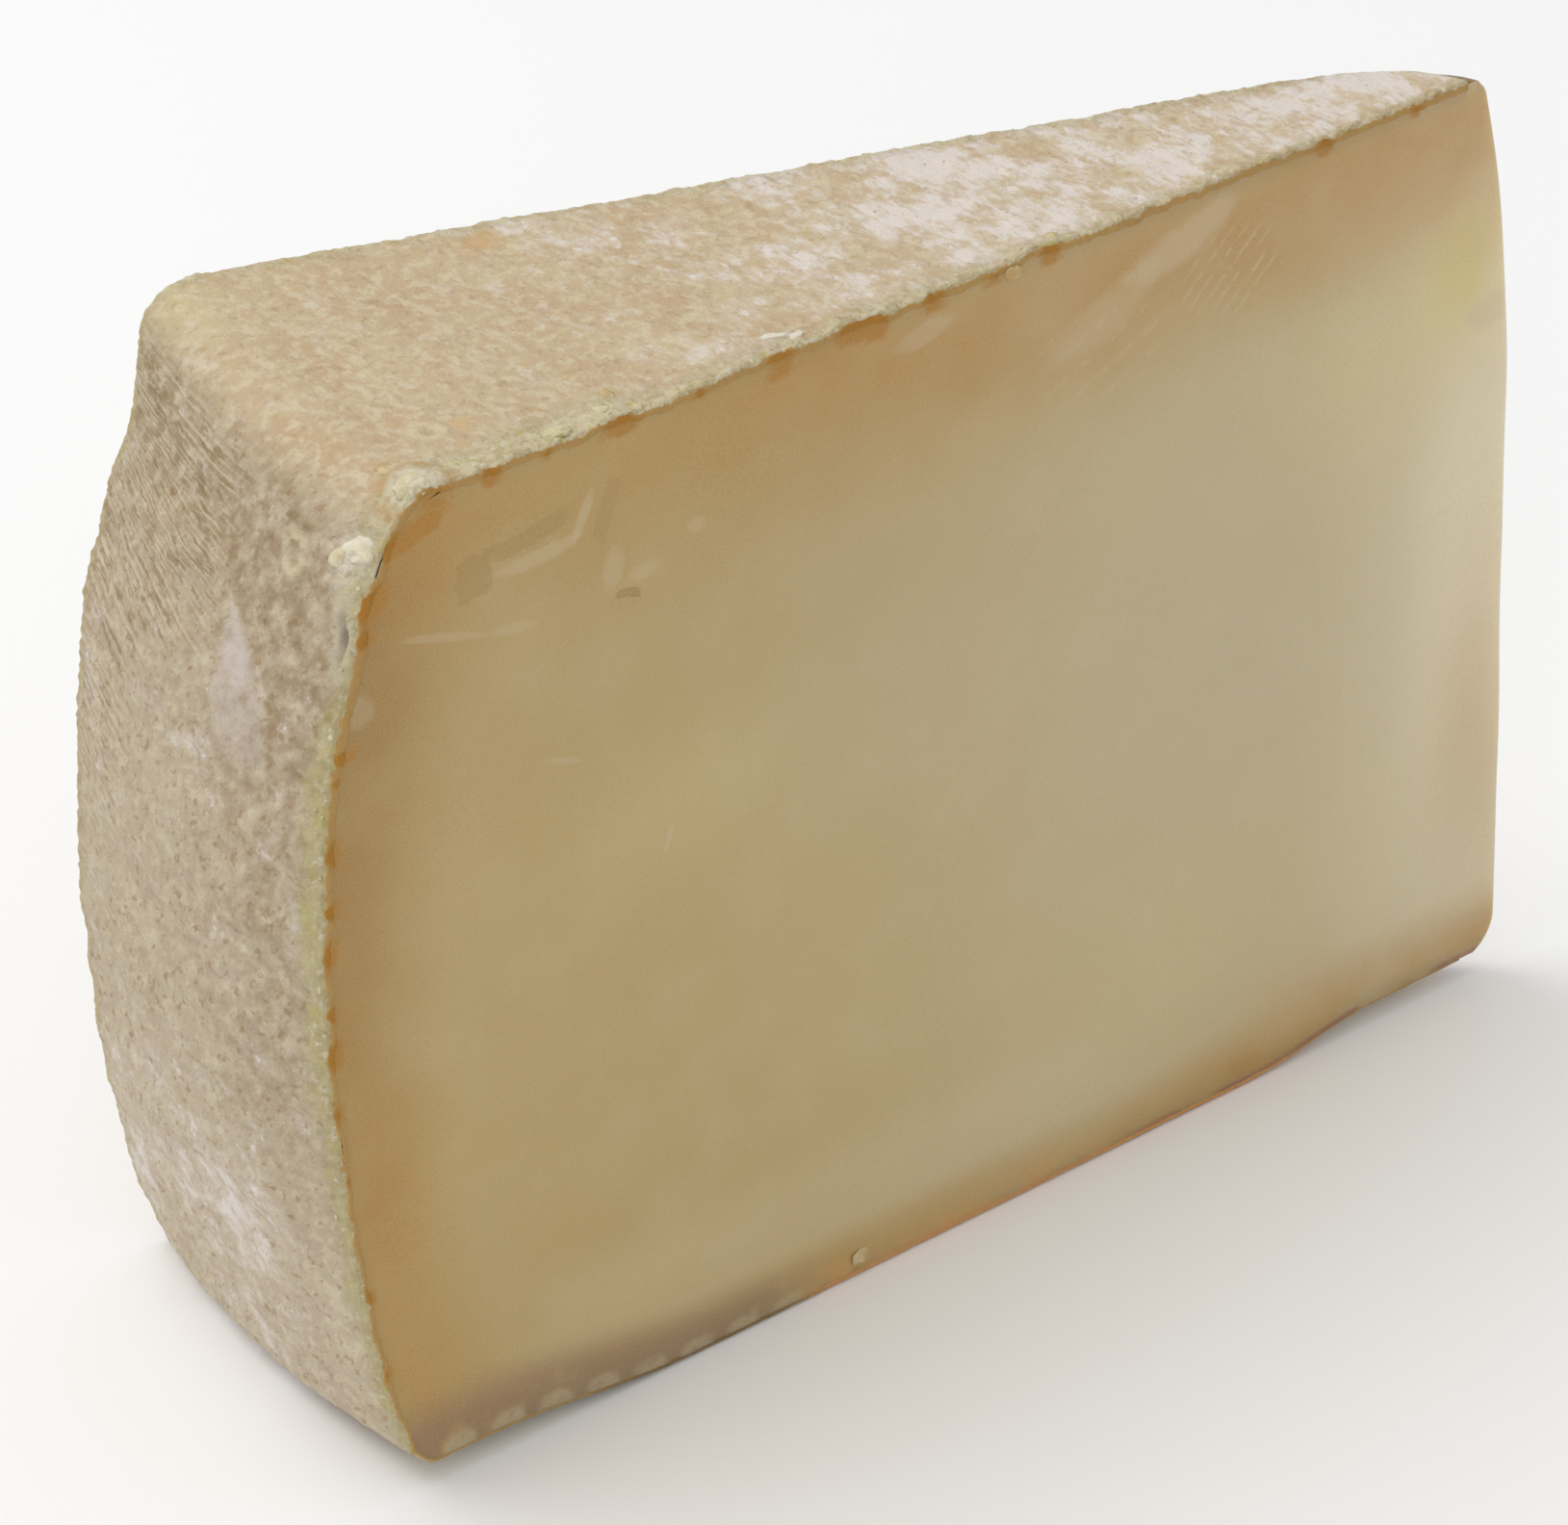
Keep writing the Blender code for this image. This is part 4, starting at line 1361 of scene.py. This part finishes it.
class CHEESE_OT_crumbs(bpy.types.Operator):
    """Set lumps along the front edge, and scatter crumbs on the edges that the knife has broken"""

    bl_idname = "cheese.crumbs"
    bl_label = "Scatter Crumbs"

    def execute(self, context):
        settings = context.scene.cheese_crumbs
        rind = bpy.data.objects.get("rind")
        if rind is None:
            raise RuntimeError("Make the rind before its crumbs")
        material = crumb_material(context.scene.cheese_colours)
        crumbs = bpy.data.objects.new("crumbs", self.loose_surface(rind))
        context.scene.collection.objects.link(crumbs)
        values = {"Density": settings.density, "Smallest": settings.smallest,
                  "Largest": settings.largest, "Seed": settings.seed, "Material": material}
        apply_tree(crumbs, crumb_tree(), values)
        lumps = self.make_lumps(material)
        for piece in (crumbs, lumps):
            rest_on_floor(piece)
            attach(piece, "root")
        return {"FINISHED"}

    @staticmethod
    def loose_surface(rind):
        """Copy of the rind's mesh that says how thick the crumbs lie on it."""
        data = rind.data.copy()
        count = len(data.vertices)
        crumbly, places = np.empty(count, np.float32), np.empty(count * 3, np.float32)
        data.attributes["crumbly"].data.foreach_get("value", crumbly)
        data.vertices.foreach_get("co", places)
        clear_of_floor = eased(places[2::3], 0.0015, 0.0040)
        layer = data.attributes.new("loose", "FLOAT", "POINT")
        layer.data.foreach_set("value", (crumbly ** 3 * clear_of_floor).astype(np.float32))
        data.materials.clear()
        return data

    @staticmethod
    def make_lumps(material):
        points, faces, tones, count = [], [], [], 0
        for number, (middle, radii, turn, tone) in enumerate(LUMPS):
            lump, rounds = ball(radii, turn, middle, 5.0 + 3.1 * number)
            points.append(lump)
            tones.append(np.full(len(lump), tone))
            faces.extend([[corner + count for corner in face] for face in rounds])
            count += len(lump)
        piece = make_piece("lumps", np.concatenate(points), faces, {"tone": np.concatenate(tones)})
        piece.data.materials.append(material)
        return piece


# ---------------------------------------------------------------------------
# Studio
# ---------------------------------------------------------------------------

CAMERA_PLACE = (-0.28905, -0.34555, 0.30802)
CAMERA_DOWN = math.radians(31.49)
CAMERA_TURN = math.radians(39.88)
CAMERA_LENS = 163.2
FLOOR_HALF = 3.0
FLOOR_COLOUR = srgb(251, 251, 251)
FLOOR_SHADE = srgb(240, 240, 240)
LAMPS = (
    # name, place, size, watts
    ("key_softbox", (-0.35, 0.30, 0.95), 0.9, 4.5),
    ("front_softbox", (-0.90, -0.95, 0.75), 0.8, 1.7),
)
SKY_STRENGTH = 0.66


class CHEESE_OT_studio(bpy.types.Operator):
    """Set up the pale floor, the soft lamps and the camera"""

    bl_idname = "cheese.studio"
    bl_label = "Set Up Studio"

    def execute(self, context):
        scene = context.scene
        scene.view_settings.view_transform = "Standard"
        self.make_floor(scene)
        for name, place, size, watts in LAMPS:
            self.make_lamp(scene, name, place, size, watts)
        world = bpy.data.worlds.new("studio")
        world.use_nodes = True
        sky = world.node_tree.nodes["Background"]
        sky.inputs["Color"].default_value = (1.0, 1.0, 1.0, 1.0)
        sky.inputs["Strength"].default_value = SKY_STRENGTH
        scene.world = world

        data = bpy.data.cameras.new("camera")
        data.lens = CAMERA_LENS
        data.clip_start = 0.01
        camera = bpy.data.objects.new("camera", data)
        camera.location = CAMERA_PLACE
        camera.rotation_euler = (math.pi / 2.0 - CAMERA_DOWN, 0.0, -CAMERA_TURN)
        scene.collection.objects.link(camera)
        scene.camera = camera
        return {"FINISHED"}

    @staticmethod
    def make_floor(scene):
        look = Finish("studio_floor")
        cloud = look.grain(look.place, 0.5, 2.0)
        look.colour = FLOOR_COLOUR
        look.coat(cloud, FLOOR_SHADE, 0.04)
        look.put(look.shader.inputs["Base Color"], look.colour)
        look.shader.inputs["Roughness"].default_value = 0.9
        look.shader.inputs["Specular IOR Level"].default_value = 0.1
        data = bpy.data.meshes.new("floor")
        span = FLOOR_HALF
        corners = [(-span, -span, 0), (span, -span, 0), (span, span, 0), (-span, span, 0)]
        data.from_pydata(corners, [], [(0, 1, 2, 3)])
        data.materials.append(look.material)
        floor = bpy.data.objects.new("floor", data)
        floor.location.z = -0.0001
        scene.collection.objects.link(floor)

    @staticmethod
    def make_lamp(scene, name, place, size, watts):
        data = bpy.data.lights.new(name, "AREA")
        data.shape = "DISK"
        data.size = size
        data.energy = watts
        lamp = bpy.data.objects.new(name, data)
        lamp.location = place
        aim = Vector((0.0, 0.0, HEIGHT / 2.0)) - Vector(place)
        lamp.rotation_euler = aim.to_track_quat("-Z", "Y").to_euler()
        scene.collection.objects.link(lamp)


# ---------------------------------------------------------------------------
# Settings, panel and start
# ---------------------------------------------------------------------------

def length_setting(name, description, default):
    return FloatProperty(name=name, description=description, default=default, min=0.0,
                         subtype="DISTANCE", unit="LENGTH", precision=5)


def colour_setting(name, description, *display):
    return FloatVectorProperty(name=name, description=description, default=srgb(*display), size=3,
                               subtype="COLOR", min=0.0, max=1.0)


class CheeseRindSettings(bpy.types.PropertyGroup):
    thickness: length_setting("Thickness", "Depth of the rind where a cut shows it", 0.00052)
    lip: length_setting("Lip", "How far the crumbled edge bulges out of the cut", 0.00002)
    rib_pitch: length_setting("Rib Pitch", "Distance between the ribs left by the cloth", 0.00098)
    rib_depth: length_setting("Rib Depth", "Height of the ribs left by the cloth", 0.00006)
    grain_size: length_setting("Grain Size", "Width of the rind's grains", 0.0010)
    grain_depth: length_setting("Grain Depth", "Height of the rind's grains", 0.00016)
    granule_size: length_setting("Granule Size", "Width of the granules along the cuts", 0.00052)
    granule_depth: length_setting("Granule Depth", "Height of the granules along the cuts", 0.00030)


class CheeseCrumbSettings(bpy.types.PropertyGroup):
    density: FloatProperty(name="Density", description="Crumbs on a square metre of broken edge",
                           default=6.0e5, min=0.0)
    smallest: length_setting("Smallest", "Radius of the smallest crumbs", 0.00007)
    largest: length_setting("Largest", "Radius of the largest crumbs", 0.00024)
    seed: IntProperty(name="Seed", description="Draw of the crumbs' places", default=5, min=0)


class CheeseColours(bpy.types.PropertyGroup):
    paste: colour_setting("Paste", "Heart of the cut face", 196, 180, 141)
    paste_gold: colour_setting("Golden Paste", "Cut face towards the rim", 185, 161, 108)
    paste_grey: colour_setting("Grey Paste", "Cooler fields of the cut face", 192, 178, 145)
    # Pale paste, also the colour of the painted light at the tip and over the foot band
    paste_pale: colour_setting("Pale Paste", "Cut face at the tip", 226, 214, 184)
    paste_smear: colour_setting("Smears", "Pale marks of the knife", 204, 188, 156)
    paste_yellow: colour_setting("Yellow Paste", "Yellow fields of the cut face", 214, 198, 142)
    paste_blush: colour_setting("Blushed Paste", "Pinkish fields of the cut face", 194, 158, 110)
    paste_tan: colour_setting("Tan Paste", "Band of the cut face beside the rind", 177, 133, 61)
    paste_shade: colour_setting("Shaded Paste", "Duller paste beside the rim", 136, 106, 62)
    paste_dark: colour_setting("Dark Smears", "Golden-brown marks of the knife", 156, 126, 68)
    amber: colour_setting("Amber", "Thin line where rind and paste meet", 174, 119, 28)
    foot: colour_setting("Foot", "Band along the foot of the cut face", 146, 118, 90)
    # Orange of the foot, painted lighter to make up for the floor's shade near the bottom
    foot_orange: colour_setting("Orange Foot", "Foot past the middle", 212, 156, 92)
    marks: colour_setting("Marks", "Pale marks along the foot", 178, 160, 126)
    rind: colour_setting("Rind", "Most of the rind", 200, 181, 145)
    rind_tan: colour_setting("Tan Rind", "Broad darker patches of the rind", 192, 166, 129)
    rind_rim: colour_setting("Rim", "Most of the rim", 196, 183, 161)
    rind_pink: colour_setting("Pink Rind", "Blushes on the rind", 194, 164, 142)
    rind_cream: colour_setting("Cream Rind", "Light grains of the rind", 214, 202, 172)
    rind_brown: colour_setting("Brown Rind", "Pits and furrows of the rind", 160, 130, 92)
    rind_dash: colour_setting("Dashes", "Dark dashes between the ribs", 134, 110, 68)
    rind_mauve: colour_setting("Mauve Rind", "Mottling of the rim", 182, 163, 141)
    # Painted shade in the rim's neck under its top edge
    rind_neck_shade: colour_setting("Neck Shade", "Dark neck of the rim", 136, 110, 68)
    bloom: colour_setting("Bloom", "White bloom on the rind", 226, 217, 210)
    speck: colour_setting("Speck", "Dark specks on the bloom", 158, 134, 116)
    edge: colour_setting("Edge", "Crumbled strip along the cuts", 212, 200, 164)
    edge_rim: colour_setting("Rim Edge", "Crumbled strip on the rim", 190, 179, 128)
    green: colour_setting("Green", "Yellow-green specks along the cuts", 186, 176, 96)
    # Painted shade in the hollows of the crumbled strip
    edge_hollow_shade: colour_setting("Dark Edge", "Hollows of the crumbled strip", 176, 158, 112)
    rind_corner: colour_setting("Far Corner", "Yellow of the far corner", 204, 190, 142)
    orange: colour_setting("Orange", "Orange spots of the rind", 204, 164, 104)
    bloom_rim: colour_setting("Rim Bloom", "Streak of bloom on the rim", 208, 195, 188)
    # Grey painted into the sunk slot as the shade in it
    slot: colour_setting("Slot", "Grey slot beside the front cut", 146, 136, 122)
    sole_red: colour_setting("Red Sole", "Reddish line along the foot", 158, 98, 88)
    lip: colour_setting("Lip", "Lower half of the rind's lip, as tan as the paste", 184, 146, 84)
    sole: colour_setting("Sole", "Edge of the underside", 140, 116, 72)
    crumb: colour_setting("Crumb", "Loose crumbs", 204, 192, 152)
    crumb_white: colour_setting("White Crumb", "Palest crumbs", 228, 220, 202)


class CHEESE_PT_panel(bpy.types.Panel):
    """Operators and settings of the cheese wedge"""

    bl_label = "Cheese Wedge"
    bl_idname = "CHEESE_PT_panel"
    bl_space_type = "VIEW_3D"
    bl_region_type = "UI"
    bl_category = "Cheese"

    def draw(self, context):
        layout = self.layout
        for operator in OPERATORS:
            layout.operator(operator.bl_idname)
        for group in ("cheese_rind", "cheese_crumbs", "cheese_colours"):
            settings = getattr(context.scene, group)
            box = layout.box()
            for name in settings.__annotations__:
                box.prop(settings, name)


OPERATORS = (CHEESE_OT_paste, CHEESE_OT_rind, CHEESE_OT_crumbs, CHEESE_OT_studio)
CLASSES = (CheeseRindSettings, CheeseCrumbSettings, CheeseColours, *OPERATORS, CHEESE_PT_panel)


def register():
    for item in CLASSES:
        bpy.utils.register_class(item)
    bpy.types.Scene.cheese_rind = PointerProperty(type=CheeseRindSettings)
    bpy.types.Scene.cheese_crumbs = PointerProperty(type=CheeseCrumbSettings)
    bpy.types.Scene.cheese_colours = PointerProperty(type=CheeseColours)


def unregister():
    for name in ("cheese_rind", "cheese_crumbs", "cheese_colours"):
        delattr(bpy.types.Scene, name)
    for item in reversed(CLASSES):
        bpy.utils.unregister_class(item)


def main():
    register()
    bpy.ops.cheese.paste()
    bpy.ops.cheese.rind()
    bpy.ops.cheese.crumbs()
    bpy.ops.cheese.studio()


if __name__ == "__main__":
    main()
